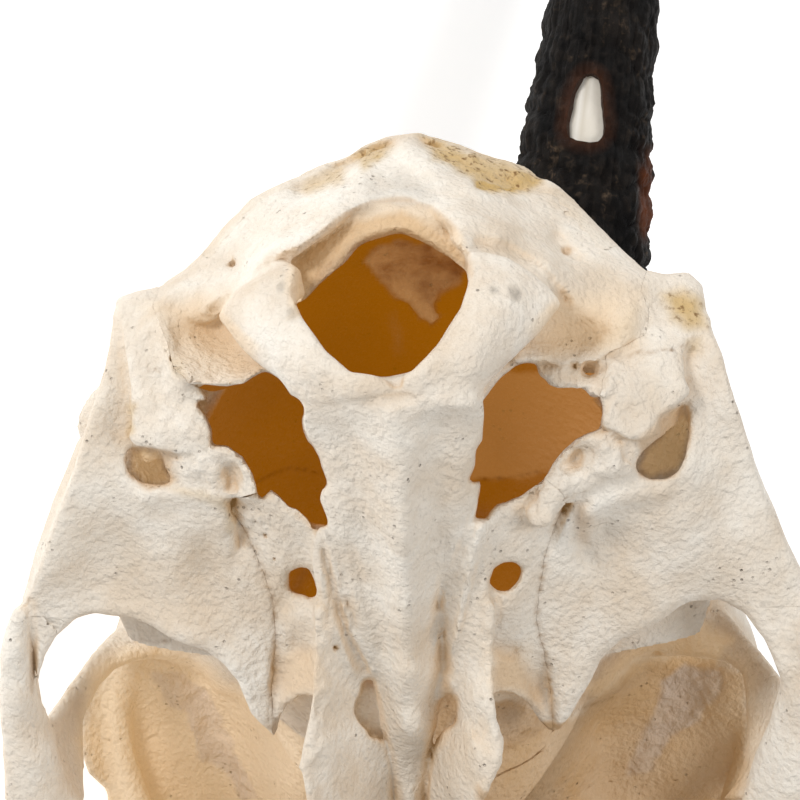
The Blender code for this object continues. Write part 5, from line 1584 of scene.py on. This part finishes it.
CRACKS = (
    [(225, 500), (232, 512), (245, 530), (262, 570), (273, 600), (276, 640), (272, 690),
     (273, 735)],
    [(566, 500), (560, 515), (545, 560), (540, 590), (537, 620), (543, 650), (550, 690),
     (553, 728)],
    [(282, 720), (290, 727), (297, 729), (307, 729)],
    [(500, 737), (512, 732), (522, 734), (530, 730), (537, 732)],
    [(130, 642), (142, 640), (150, 643), (170, 641)],
    [(716, 605), (703, 615)],
    [(605, 357), (626, 357), (637, 352), (675, 350), (686, 344)],
    [(148, 371), (154, 369), (160, 372)],
    [(255, 484), (275, 472), (290, 467), (305, 470), (322, 474)],
    [(475, 481), (500, 478), (520, 476), (541, 471)],
    [(572, 712), (598, 703), (612, 698)])


CRACK_WIDTH = 0.11
HOLLOW_REACH = 2.0
CREASE_REACH = 0.7


def painted(marks_of):
    """Each paint's field, with its range of y, ready to be read off."""
    return {name: [(fade(outline_field(outline, 0.22, 161 + 3 * n), soft) * strength, least, most)
                   for n, (outline, soft, strength, least, most) in enumerate(rows)]
            for name, rows in marks_of.items()}


paints = painted(PAINT)
crack_lines = np.minimum.reduce([line_field(line) for line in CRACKS])
crack_field = np.clip(1.1 - crack_lines / CRACK_WIDTH, 0, 1)
great_hole_field = outline_field(GREAT_HOLE)


def marks_at(p, far, at, normal, cube):
    x, y, z = p.T
    deep = sample(far, at + normal * (HOLLOW_REACH / cube))
    near = sample(far, at + normal * (CREASE_REACH / cube))
    room = fade(egg(VAULT_CENTRE, [r - VAULT_WALL + 0.5 for r in VAULT_RADII])[2](x, y, z), 0.7)
    front = fade(egg(FRONT_ROOM[0], [r + 0.6 for r in FRONT_ROOM[1]])[2](x, y, z), 0.7)
    inside = np.maximum(room, front * (y < 68))
    u, v, _ = seen(x, y, z)
    # hollow and crease: how deeply a point is sunk, which the material turns into painted shade and
    # a painted warm glow.
    marks = {"hollow": np.clip(1 - deep / HOLLOW_REACH, 0, 1),
             "crease": np.clip(1 - near / CREASE_REACH, 0, 1)}
    for name, rows in paints.items():
        total = np.zeros(len(p))
        for field, least, most in rows:
            within = np.clip((y - least) * 2, 0, 1) * np.clip((most - y) * 2, 0, 1)
            total = np.maximum(total, read_off(field, u, v) * within)
        marks[name] = total
    rim = np.clip(1 - read_off(great_hole_field, u, v) / 0.3, 0, 1) * (y > 1.5)
    inside = inside * fade(-(y - 2.5), 1.2) * np.where(y < 12, rim, 1)
    lit = 0.86 + 0.14 * np.clip(1 - read_off(great_hole_field, u, v) / 0.8, 0, 1)
    marks["inside"] = inside * lit * (1 - marks["crust"])
    facing = normal @ LOOK < -0.12
    marks["crack"] = read_off(crack_field, u, v) * facing
    return marks


# Noise that moves the surface: (height in mm, size across in mm, seed).
GRAIN = ((0.12, 4.5, 50), (0.07, 2.0, 51), (0.035, 0.9, 52))
LUMPS = ((0.34, 1.3, 53), (0.26, 0.75, 54))
CRACK_DEPTH = 0.12


def weathered(p, normal, marks):
    """Moves the points a little along their normals: grain everywhere, lumps where bone is raw."""
    grain, lumps = (sum(height * noise(*p.T, size, seed) for height, size, seed in rows)
                    for rows in (GRAIN, LUMPS))
    broken = np.maximum(marks["raw"], np.maximum(marks["rough"], 0.7 * marks["ochre"]))
    return p + normal * (grain + broken * lumps - CRACK_DEPTH * marks["crack"])[:, None]


# %% A mesh from arrays
def mesh_object(name, points, faces, marks):
    mesh = bpy.data.meshes.new(name)
    mesh.vertices.add(len(points))
    mesh.vertices.foreach_set("co", points.astype(np.float32).ravel())
    sides = faces.shape[1]
    mesh.loops.add(faces.size)
    mesh.loops.foreach_set("vertex_index", faces.astype(np.int32).ravel())
    mesh.polygons.add(len(faces))
    mesh.polygons.foreach_set("loop_start", np.arange(0, faces.size, sides, dtype=np.int32))
    mesh.update(calc_edges=True)
    for mark, values in marks.items():
        layer = mesh.attributes.new(mark, "FLOAT", "POINT")
        layer.data.foreach_set("value", np.asarray(values, np.float32))
    mesh.shade_smooth()
    mesh.set_sharp_from_angle(angle=radians(55))
    obj = bpy.data.objects.new(name, mesh)
    bpy.context.scene.collection.objects.link(obj)
    return obj


def bone_piece(number, regions, wax):
    far, own, corner = share_of(number, regions, wax)
    points, faces = skin_of(np.maximum(far, own))
    points = crisp(points, far, own, wax.cube)
    points, faces = largest_body(points, faces)
    normal = slope(far, points)
    normal /= np.maximum(np.linalg.norm(normal, axis=1, keepdims=True), 1e-6)
    p = corner + points * wax.cube
    marks = marks_at(p, far, points, normal, wax.cube)
    on_wax = np.abs(sample(far, points)) < 0.05
    p = weathered(p, normal * on_wax[:, None], marks)
    return p, faces, marks


regions = all_regions()
bones = {}
for number, (label, _, _, _) in enumerate(regions):
    points, faces, marks = bone_piece(number, regions, skull)
    bones[label] = mesh_object(label + "_bone", to_room(points), faces, marks)
print("bones", {name: len(bone.data.polygons) for name, bone in bones.items()})

# %% [markdown]
# ## The horn
#
# A duiker's horn is a straight, slim cone of black horn over a bony core. Near the base it is
# wrinkled into rough rings, further up it is finely striated along its length. On the side that
# faces backwards a patch is worn through, and the pale core shows.

# %% The horn's axis and skin
HORN_LENGTH = 106
HORN_RADIUS = 8.8
HORN_TAPER, HORN_TAPER_POWER = 0.78, 1.15
HORN_BOW = 5.0
BOW_WAY = (0, -1, -0.6)
HORN_BACK = (-0.08, -0.82, -0.57)
CORE_DEPTH = 0.9
CORE_START, CORE_LENGTH = -3.0, 66
CORE_RINGS, CORE_SIDES = 120, 72
WRINKLED_LENGTH = 62
WRINKLE_SPACING = 4.6
HORN_RINGS = 340
HORN_SIDES = 200
HORN_WINDOW = [(592, 73), (599, 77), (602, 88), (603, 100), (606, 125), (604, 135), (599, 141),
               (590, 143), (578, 141), (568, 137), (566, 128), (568, 112), (572, 95), (577, 82),
               (584, 74)]
SNAP_REACH = 0.24
window_field = outline_field(HORN_WINDOW, 0.05, 171)


def horn_point(length):
    length = np.asarray(length, float)[..., None]
    t = length / HORN_LENGTH
    bow = unit(BOW_WAY) * HORN_BOW * t * (1 - t) * 1.6
    return np.array(HORN_BASE, float) + unit(HORN_AXIS) * length + bow


def horn_frame():
    """Two directions across the horn: to its back, and sideways."""
    axis = unit(HORN_AXIS)
    back = np.array(HORN_BACK)
    back = unit(back - axis * (back @ axis))
    return back, np.cross(axis, back)


def plain_radius(length):
    t = np.clip(np.asarray(length, float) / HORN_LENGTH, 0, 1)
    return HORN_RADIUS * (1 - HORN_TAPER * t ** HORN_TAPER_POWER)


def core_radius(length):
    """The bony core keeps just under the sheath, then ends in a blunt point."""
    left = np.clip((CORE_LENGTH - np.asarray(length, float)) / 30, 0, 1)
    return (plain_radius(length) - CORE_DEPTH) * np.sqrt(np.maximum(left, 1e-4) * (2 - left))


def horn_skin():
    """Points of the sheath's outer and inner skins, and its marks."""
    rows = np.linspace(0, 1, HORN_RINGS)
    turns = np.linspace(0, 2 * pi, HORN_SIDES, endpoint=False)
    length, angle = np.meshgrid(rows * HORN_LENGTH, turns, indexing="ij")
    back, across = horn_frame()
    t = length / HORN_LENGTH
    cx, cy = np.cos(angle), np.sin(angle)
    base_share = np.clip(1 - length / WRINKLED_LENGTH, 0, 1) ** 0.6
    slant = length + 2.4 * cy + 1.2 * cx + 2.2 * noise(cx * 2, cy * 2, length / 10, 1.0, 61)
    wrinkle = np.abs(np.sin(slant * pi / WRINKLE_SPACING)) ** 0.5 - 0.65
    flakes_up = np.abs(noise(cx * 5, cy * 5, (length + 3 * cy) * 0.55, 1.0, 62))
    rough = noise(cx * 14, cy * 14, length * 1.6, 1.0, 63)
    lumps = noise(cx * 1.6, cy * 1.6, length / 7.0, 1.0, 66)
    streaks = noise(cx * 26, cy * 26, length * 0.09, 1.0, 64) + 0.6 * noise(
        cx * 52, cy * 52, length * 0.14, 1.0, 65)
    radius = plain_radius(length) + 0.5 * lumps * (0.4 + 0.6 * base_share)
    radius += base_share * (0.85 * wrinkle + 0.8 * flakes_up + 0.34 * rough)
    radius += 0.24 * streaks * (1 - 0.5 * t) * (1 - 0.6 * base_share)
    radius += 1.0 * np.clip(1 - length / 5, 0, 1) ** 2
    radius = np.where(t > 0.985, radius * np.sqrt(np.clip((1 - t) / 0.015, 0.02, 1)), radius)
    out = cx[..., None] * back + cy[..., None] * across
    outer = horn_point(length) + out * radius[..., None]
    u, v, _ = seen(*np.moveaxis(outer, -1, 0))
    edge = np.where(cx > 0.2, read_off(window_field, u, v), 9)
    inner_radius = np.maximum(np.minimum(core_radius(length) + 0.15, radius - 0.3), 0.12)
    inner = horn_point(length) + out * inner_radius[..., None]
    red = fade(np.abs(v - 195) / 40 - 1, 0.4) * np.clip((u - 636) / 8, 0, 1)
    marks = {"window": np.clip(1 - edge / 1.4, 0, 1), "flaky": rough + wrinkle * base_share,
             "red": red, "base": base_share, "streak": streaks}
    return outer, inner, edge, marks


def snapped(points):
    """Moves points beside the window onto its outline, across the line of sight."""
    u, v, per_mm = seen(*points.T)
    away = read_off(window_field, u, v)
    px = SNAP_REACH * PIXELS_PER_MM
    du = (read_off(window_field, u + px, v) - read_off(window_field, u - px, v)) / (2 * px)
    dv = (read_off(window_field, u, v + px) - read_off(window_field, u, v - px)) / (2 * px)
    size = np.maximum(np.hypot(du, dv), 1e-6)
    move = (-away / size)[:, None] * (du[:, None] * EYE_RIGHT - dv[:, None] * EYE_UP)
    return points + move


def horn_piece():
    outer, inner, edge, marks = horn_skin()
    rows, sides = outer.shape[:2]
    count = rows * sides
    here = np.arange(count).reshape(rows, sides)
    right = np.roll(here, -1, 1)
    inside = edge < 0
    beside = np.roll(inside, -1, 1)
    hole = inside[:-1] & inside[1:] & beside[:-1] & beside[1:]
    quads = np.stack([here[:-1], right[:-1], right[1:], here[1:]], axis=-1)
    faces = [quads[~hole], (quads + count)[~hole][:, ::-1]]
    rim = set()
    for i, j in np.argwhere(hole):
        for (a, b), solid in (((here[i, j], right[i, j]), not hole[i - 1, j]),
                              ((right[i, j], right[i + 1, j]), not hole[i, (j + 1) % sides]),
                              ((right[i + 1, j], here[i + 1, j]), not hole[i + 1, j]),
                              ((here[i + 1, j], here[i, j]), not hole[i, j - 1])):
            if solid:
                faces.append(np.array([[b, a, a + count, b + count]]))
                rim |= {int(a), int(b)}
    for a, b in ((right[0], here[0]), (here[-1], right[-1])):
        faces.append(np.stack([a, b, b + count, a + count], axis=-1))
    rim = np.array(sorted(rim))
    points = np.concatenate([outer.reshape(-1, 3), inner.reshape(-1, 3)])
    moved = snapped(points[rim])
    points[rim + count] += moved - points[rim]
    points[rim] = moved
    marks = {name: np.tile(mark.ravel(), 2) for name, mark in marks.items()}
    return points, np.concatenate(faces), marks


def core_piece():
    """The bony core that shows in the window, rooted in the pedicle."""
    rows = np.linspace(CORE_START, CORE_LENGTH, CORE_RINGS)
    turns = np.linspace(0, 2 * pi, CORE_SIDES, endpoint=False)
    length, angle = np.meshgrid(rows, turns, indexing="ij")
    back, across = horn_frame()
    cx, cy = np.cos(angle), np.sin(angle)
    radius = np.maximum(core_radius(length) - 0.05, 0.05)
    radius = radius + 0.05 * noise(cx * 14, cy * 14, length * 0.2, 1.0, 173)
    out = cx[..., None] * back + cy[..., None] * across
    points = (horn_point(length) + out * radius[..., None]).reshape(-1, 3)
    here = np.arange(len(points)).reshape(length.shape)
    right = np.roll(here, -1, 1)
    faces = np.stack([here[:-1], right[:-1], right[1:], here[1:]], axis=-1).reshape(-1, 4)
    points = np.concatenate([points, [horn_point(CORE_START), horn_point(CORE_LENGTH)]])
    fans = []
    for j in range(0, here.shape[1], 2):
        k = (j + 2) % here.shape[1]
        fans.append([here[0, j], len(points) - 2, here[0, k], here[0, j + 1]])
        fans.append([here[-1, j], here[-1, j + 1], here[-1, k], len(points) - 1])
    streak = np.append(noise(cx * 20, cy * 20, length * 0.1, 1.0, 174).ravel(), [0, 0])
    return points, np.concatenate([faces, np.array(fans)]), {"streak": streak}


points, faces, marks = horn_piece()
horn = mesh_object("horn_sheath", to_room(points), faces, marks)
points, faces, marks = core_piece()
core = mesh_object("horn_core", to_room(points), faces, marks)
print("horn", len(horn.data.polygons), "faces, core", len(core.data.polygons))

# %% [markdown]
# ## Finishes
#
# Dry bone is matt and warm white, a little mottled, with pores as fine as pinpricks. The same group
# of nodes gives every bone its mottling, pores and grain, and the marks of each point then tint it:
# painted amber shade inside, ochre on the crest, grey-pink where it is raw, painted brown shade in
# its creases.

# %% Small tools for node trees
def link(tree, a, b):
    tree.links.new(a, b)


def fed(tree, kind, values, output, **settings):
    """Makes a node, sets or links its inputs by name or number, and gives back one output."""
    node = tree.nodes.new("ShaderNode" + kind)
    for name, value in settings.items():
        setattr(node, name, value)
    for key, value in values.items():
        if isinstance(value, (int, float)):
            node.inputs[key].default_value = value
        else:
            link(tree, value, node.inputs[key])
    return node.outputs[output]


def clouds(tree, scale, detail, roughness=0.5):
    """Noise on the piece's own coordinates."""
    place = fed(tree, "TexCoord", {}, "Object")
    return fed(tree, "TexNoise", {"Vector": place, "Scale": scale, "Detail": detail,
                                  "Roughness": roughness}, "Fac")


def math_node(tree, operation, *values):
    return fed(tree, "Math", dict(enumerate(values)), "Value", operation=operation)


def ramp(tree, value, low, high, to_low=0.0, to_high=1.0):
    return fed(tree, "MapRange", {"Value": value, "From Min": low, "From Max": high,
                                  "To Min": to_low, "To Max": to_high}, "Result")


def mark_of(tree, name):
    return fed(tree, "Attribute", {}, "Fac", attribute_name=name)


def tinted(tree, share, base, colour):
    """The base colour, mixed with another by the share."""
    mix = tree.nodes.new("ShaderNodeMix")
    mix.data_type = "RGBA"
    for name, value in (("Factor_Float", share), ("A_Color", base), ("B_Color", colour)):
        socket = next(s for s in mix.inputs if s.identifier == name)
        if isinstance(value, (tuple, float, int)):
            socket.default_value = (*value, 1) if isinstance(value, tuple) else value
        else:
            link(tree, value, socket)
    return next(s for s in mix.outputs if s.identifier == "Result_Color")


def bumped(tree, height, strength, distance):
    """Gives the surface of the material a bump from the height."""
    surface = tree.nodes["Principled BSDF"]
    values = {"Strength": strength, "Distance": distance, "Height": height}
    normal = fed(tree, "Bump", values, "Normal")
    link(tree, normal, surface.inputs["Normal"])


def new_material(name):
    material = bpy.data.materials.new(name)
    material.use_nodes = True
    return material, material.node_tree, material.node_tree.nodes["Principled BSDF"]


print("tools for node trees ready")

# %% [markdown]
# Every bone shares one group of nodes: a mottle, a few pores in patches, a fine grain and a wide,
# slow change of tone. One group means that all bones change together when a size in it changes.

# %% The bone's grain, one group for all bones
MOTTLE_SCALE = 90.0
PORE_SCALE = 1150.0


def bone_grain_group():
    tree = bpy.data.node_groups.new("bone grain", "ShaderNodeTree")
    for name, value in (("Mottle Size", MOTTLE_SCALE), ("Pore Size", PORE_SCALE)):
        socket = tree.interface.new_socket(name, in_out="INPUT", socket_type="NodeSocketFloat")
        socket.default_value = value
    source = tree.nodes.new("NodeGroupInput")
    place = fed(tree, "TexCoord", {}, "Object")
    cells = {"Vector": place, "Scale": source.outputs["Pore Size"]}
    pores = ramp(tree, fed(tree, "TexVoronoi", cells, "Distance"), 0.06, 0.20, 1.0, 0.0)
    in_patches = ramp(tree, clouds(tree, 240, 3), 0.56, 0.76)
    made = {"Mottle": clouds(tree, source.outputs["Mottle Size"], 6, 0.62),
            "Pores": math_node(tree, "MULTIPLY", pores, in_patches),
            "Grain": clouds(tree, 1400, 5),
            "Wide": clouds(tree, 38, 4)}
    result = tree.nodes.new("NodeGroupOutput")
    for name, value in made.items():
        tree.interface.new_socket(name, in_out="OUTPUT", socket_type="NodeSocketFloat")
        link(tree, value, result.inputs[name])
    return tree


bone_grain = bone_grain_group()
print("bone grain:", [item.name for item in bone_grain.interface.items_tree])

# %% [markdown]
# Bone's own colour comes first, then the painted shade in its hollows and creases, the stains
# together with the painted light and shade laid on as seen, the pores and the cracks. Thin bone
# lets light through, which no surface colour can show, so the room of the braincase, the thin
# plates and the hollows give off a faint warm light of their own: painted light.

# %% Bone
CREAM = (0.71, 0.60, 0.475)
PALE = (0.86, 0.805, 0.72)
# Painted shade in the hollows and on the tan marks; it also colours the crust.
TAN = (0.55, 0.345, 0.165)
# Painted shade and warm bounce light inside the braincase.
AMBER_SHADE = (0.21, 0.085, 0.003)
AMBER_GLOW = (0.236, 0.080, 0.0004)
ROSY_GLOW = (0.335, 0.150, 0.034)
CRUST_GLOW = (0.27, 0.150, 0.055)
OCHRE = (0.56, 0.375, 0.14)
RAW = (0.56, 0.46, 0.385)
BLUSH = (0.72, 0.58, 0.42)
# WARM and WARM_GLOW paint the warm light and shade of the sockets and hollows.
WARM = (0.70, 0.545, 0.37)
WARM_GLOW = (0.25, 0.155, 0.06)
# Painted shade for the creases.
CREASE_SHADE = (0.36, 0.23, 0.12)
# Grey of the small stains and of the painted shade on the shield.
STAIN_AND_SHADE = (0.33, 0.29, 0.24)
PIT = (0.20, 0.105, 0.03)
PORE = (0.20, 0.12, 0.06)
CRACK = (0.30, 0.165, 0.06)
BLACK = (0.0, 0.0, 0.0)
# Colour marks laid over the bone: real stains (raw, ochre, crust) and painted light and shade (the
# tan and warm marks, and the shield's grey shade).
PAINTED_LIGHT_AND_STAINS = (("tan", TAN), ("warm", WARM), ("raw", RAW), ("ochre", OCHRE), ("crust", TAN),
          ("stain_and_shade", STAIN_AND_SHADE))


def bone_colour(tree, warmth, mottle, pores, fine, wide):
    tone = tinted(tree, ramp(tree, mottle, 0.36, 0.64), CREAM, PALE)
    tone = tinted(tree, warmth, tone, OCHRE)
    tone = tinted(tree, ramp(tree, wide, 0.48, 0.75, 0.0, 0.32), tone, BLUSH)
    # Painted shade: hollows are darkened towards tan.
    tone = tinted(tree, ramp(tree, mark_of(tree, "hollow"), 0.25, 0.95, 0.0, 0.36), tone, TAN)
    # Painted shade: creases are darkened towards brown.
    tone = tinted(tree, ramp(tree, mark_of(tree, "crease"), 0.45, 1.0, 0.0, 0.55), tone, CREASE_SHADE)
    patchy = ramp(tree, mottle, 0.35, 0.6, 0.55, 1.0)
    # Stains, and painted light and shade, laid on where the marks are.
    for mark, colour in PAINTED_LIGHT_AND_STAINS:
        tone = tinted(tree, math_node(tree, "MULTIPLY", mark_of(tree, mark), patchy), tone, colour)
    pitted = math_node(tree, "MULTIPLY", mark_of(tree, "ochre"), ramp(tree, fine, 0.56, 0.66))
    tone = tinted(tree, pitted, tone, PIT)
    # Painted shade and warm bounce light: the inside of the braincase is tinted amber.
    tone = tinted(tree, mark_of(tree, "inside"), tone, AMBER_SHADE)
    tone = tinted(tree, math_node(tree, "MULTIPLY", pores, 0.6), tone, PORE)
    gaps = ramp(tree, fine, 0.35, 0.6, 0.15, 0.9)
    return tinted(tree, math_node(tree, "MULTIPLY", mark_of(tree, "crack"), gaps), tone, CRACK)


def light_through_bone(tree, mottle, wide):
    inside = mark_of(tree, "inside")
    glow = tinted(tree, mark_of(tree, "rosy"), AMBER_GLOW, ROSY_GLOW)
    share = math_node(tree, "MULTIPLY", inside, ramp(tree, wide, 0.3, 0.7, 0.8, 1.1))
    glow = tinted(tree, share, BLACK, glow)
    glow = tinted(tree, ramp(tree, mark_of(tree, "crack"), 0.0, 1.0, 0.0, 0.5), glow, BLACK)
    # Painted warm light: the hollows and the warm marks glow faintly, standing for light bounced
    # about and let through by the bone.
    hollow = ramp(tree, mark_of(tree, "hollow"), 0.2, 0.9, 0.0, 0.28)
    warm = math_node(tree, "MAXIMUM", mark_of(tree, "warm"), hollow)
    warm = math_node(tree, "MULTIPLY", warm, ramp(tree, wide, 0.3, 0.7, 0.75, 1.1))
    warm = math_node(tree, "SUBTRACT", warm, inside)
    glow = tinted(tree, ramp(tree, warm, 0.0, 1.0), glow, WARM_GLOW)
    flakes_lit = ramp(tree, mottle, 0.44, 0.60, 0.0, 1.0)
    flakes_lit = math_node(tree, "MULTIPLY", mark_of(tree, "crust"), flakes_lit)
    return tinted(tree, flakes_lit, glow, CRUST_GLOW)


def bone_material(name, warmth):
    material, tree, surface = new_material(name)
    grain = tree.nodes.new("ShaderNodeGroup")
    grain.node_tree = bone_grain
    mottle, pores, fine, wide = (grain.outputs[k] for k in ("Mottle", "Pores", "Grain", "Wide"))
    link(tree, bone_colour(tree, warmth, mottle, pores, fine, wide), surface.inputs["Base Color"])
    link(tree, light_through_bone(tree, mottle, wide), surface.inputs["Emission Color"])
    surface.inputs["Emission Strength"].default_value = 1.0
    # The glow is too faint for the render to aim at, which would only make it slow.
    material.cycles.emission_sampling = "NONE"
    link(tree, ramp(tree, fine, 0.2, 0.8, 0.5, 0.72), surface.inputs["Roughness"])
    height = math_node(tree, "MULTIPLY_ADD", fine, 0.7, math_node(tree, "MULTIPLY", mottle, 0.9))
    bumped(tree, math_node(tree, "SUBTRACT", height, pores), 1.0, 0.0007)
    surface.inputs["Specular IOR Level"].default_value = 0.3
    return material


plain_bone = bone_material("dry_bone", 0.0)
stained_bone = bone_material("soil_stained_bone", 0.10)
print("bone materials", plain_bone.name, stained_bone.name)

# %% [markdown]
# Horn is black and dull, dusty near its base and on its raised flakes, and reddish where it is thin
# around the worn window. The core under it is ivory.

# %% Horn
HORN_BLACK, HORN_DARK = (0.0022, 0.0018, 0.0018), (0.010, 0.0075, 0.006)
HORN_RIDGE, HORN_CREST = (0.016, 0.013, 0.011), (0.030, 0.022, 0.017)
HORN_DUST = (0.24, 0.165, 0.105)
HORN_EDGE, HORN_RED = (0.060, 0.022, 0.010), (0.16, 0.045, 0.014)
CORE_PALE, CORE_SHADE, CORE_MOTTLE = (0.86, 0.83, 0.77), (0.66, 0.615, 0.53), (0.62, 0.56, 0.46)


def horn_material():
    material, tree, surface = new_material("black_horn")
    fleck = clouds(tree, 650, 7, 0.72)
    broad = clouds(tree, 190, 5)
    tone = tinted(tree, ramp(tree, broad, 0.42, 0.7), HORN_BLACK, HORN_DARK)
    tone = tinted(tree, ramp(tree, mark_of(tree, "streak"), -0.2, 1.2, 0.0, 0.55), tone, HORN_RIDGE)
    dust = ramp(tree, fleck, 0.55, 0.68)
    for share in (ramp(tree, broad, 0.45, 0.58),
                  ramp(tree, mark_of(tree, "flaky"), 0.0, 0.7, 0.35, 1.0),
                  ramp(tree, mark_of(tree, "base"), 0.1, 0.8, 0.35, 1.0)):
        dust = math_node(tree, "MULTIPLY", dust, share)
    tone = tinted(tree, dust, tone, HORN_DUST)
    crest = ramp(tree, mark_of(tree, "flaky"), 0.15, 0.6, 0.0, 0.6)
    tone = tinted(tree, math_node(tree, "MULTIPLY", crest, fleck), tone, HORN_CREST)
    edge = math_node(tree, "MULTIPLY", ramp(tree, mark_of(tree, "window"), 0.05, 0.9),
                     ramp(tree, fleck, 0.35, 0.62, 0.5, 1.0))
    tone = tinted(tree, edge, tone, HORN_EDGE)
    red = math_node(tree, "MULTIPLY", mark_of(tree, "red"), ramp(tree, broad, 0.38, 0.6))
    link(tree, tinted(tree, red, tone, HORN_RED), surface.inputs["Base Color"])
    link(tree, ramp(tree, fleck, 0.3, 0.7, 0.42, 0.75), surface.inputs["Roughness"])
    bumped(tree, fleck, 0.9, 0.0013)
    surface.inputs["Specular IOR Level"].default_value = 0.16
    return material


def core_material():
    """Ivory, clean and faintly streaked where the sheath rubbed it smooth."""
    material, tree, surface = new_material("ivory_core")
    grain = tree.nodes.new("ShaderNodeGroup")
    grain.node_tree = bone_grain
    tone = tinted(tree, ramp(tree, mark_of(tree, "streak"), -0.6, 0.9), CORE_SHADE, CORE_PALE)
    mottled = ramp(tree, grain.outputs["Mottle"], 0.5, 0.7, 0.0, 0.4)
    link(tree, tinted(tree, mottled, tone, CORE_MOTTLE), surface.inputs["Base Color"])
    link(tree, ramp(tree, grain.outputs["Grain"], 0.2, 0.8, 0.4, 0.6), surface.inputs["Roughness"])
    bumped(tree, grain.outputs["Grain"], 0.3, 0.0002)
    return material


black_horn = horn_material()
ivory = core_material()
print("materials", [m.name for m in (plain_bone, stained_bone, black_horn, ivory)])

# %% [markdown]
# ## Dressing the model
#
# Every bone rides on the one body there is and stands for the solid of the same name.

# %% Riding, replacing, finishing
for node, piece in {**bones, "horn_sheath_right": horn}.items():
    stained = node == "parietal" or node.startswith("palatine")
    slot = "horn" if node.startswith("horn") else "stained_bone" if stained else "bone"
    look = {"horn": black_horn, "stained_bone": stained_bone, "bone": plain_bone}[slot]
    piece.data.materials.append(look)
    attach(piece, "root")
    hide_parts(node)
core.data.materials.append(ivory)
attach(core, "root")
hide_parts("frontal_right")
print("pieces", len(bones) + 2)

# %% [markdown]
# ## Floor and light
#
# The photograph has a white ground and wide, soft light from both sides of the camera, a little
# stronger from the upper left. A pale floor, which gives off a little light so that it stays white,
# and two square lamps under a bright sky give the same.

# %% Stage
FLOOR_HALF_WIDTH = 4
FLOOR_GLOW = 0.42
SKY_STRENGTH = 0.5
LIT_POINT = Vector((0, 0, 0.04))
# Lamps: place as seen from the camera (right, up, back) in metres, side in metres, watts, colour.
LAMPS = {"key": ((-0.5, 0.4, 0.9), 0.25, 5.9, (1, 0.985, 0.965)),
         "fill": ((0.8, -0.05, 0.7), 0.4, 3.6, (1, 0.99, 0.98))}


def floor_material():
    material, _, surface = new_material("pale_floor")
    surface.inputs["Base Color"].default_value = (0.95, 0.95, 0.95, 1)
    surface.inputs["Emission Color"].default_value = (1.0, 1.0, 1.0, 1)
    surface.inputs["Emission Strength"].default_value = FLOOR_GLOW
    surface.inputs["Roughness"].default_value = 0.9
    surface.inputs["Specular IOR Level"].default_value = 0.1
    return material


bm = bmesh.new()
bmesh.ops.create_grid(bm, x_segments=1, y_segments=1, size=FLOOR_HALF_WIDTH)
floor_mesh = bpy.data.meshes.new("floor")
bm.to_mesh(floor_mesh)
bm.free()
floor = bpy.data.objects.new("floor", floor_mesh)
floor.data.materials.append(floor_material())
bpy.context.scene.collection.objects.link(floor)


def from_eye(right, up, back):
    """A place in the room, given as seen from the camera, from the middle of the skull."""
    middle = np.array((0, 20, 15))
    at = middle + (EYE_RIGHT * right + EYE_UP * up - LOOK * back) / MM
    return Vector((TURN @ at + SHIFT) * MM)


def lamp(name, place, size, power, colour):
    """A square lamp aimed at the middle of the skull."""
    data = bpy.data.lights.new(name, "AREA")
    data.size = size
    data.energy = power
    data.color = colour
    obj = bpy.data.objects.new(name, data)
    bpy.context.scene.collection.objects.link(obj)
    turn = (place - LIT_POINT).to_track_quat("Z", "Y").to_matrix().to_4x4()
    obj.matrix_world = Matrix.Translation(place) @ turn


for name, (place, size, power, colour) in LAMPS.items():
    lamp(name, from_eye(*place), size, power, colour)
world = bpy.data.worlds.new("studio")
world.use_nodes = True
world.node_tree.nodes["Background"].inputs["Color"].default_value = (1, 1, 1, 1)
world.node_tree.nodes["Background"].inputs["Strength"].default_value = SKY_STRENGTH
bpy.context.scene.world = world
bpy.context.scene.view_settings.view_transform = "Standard"
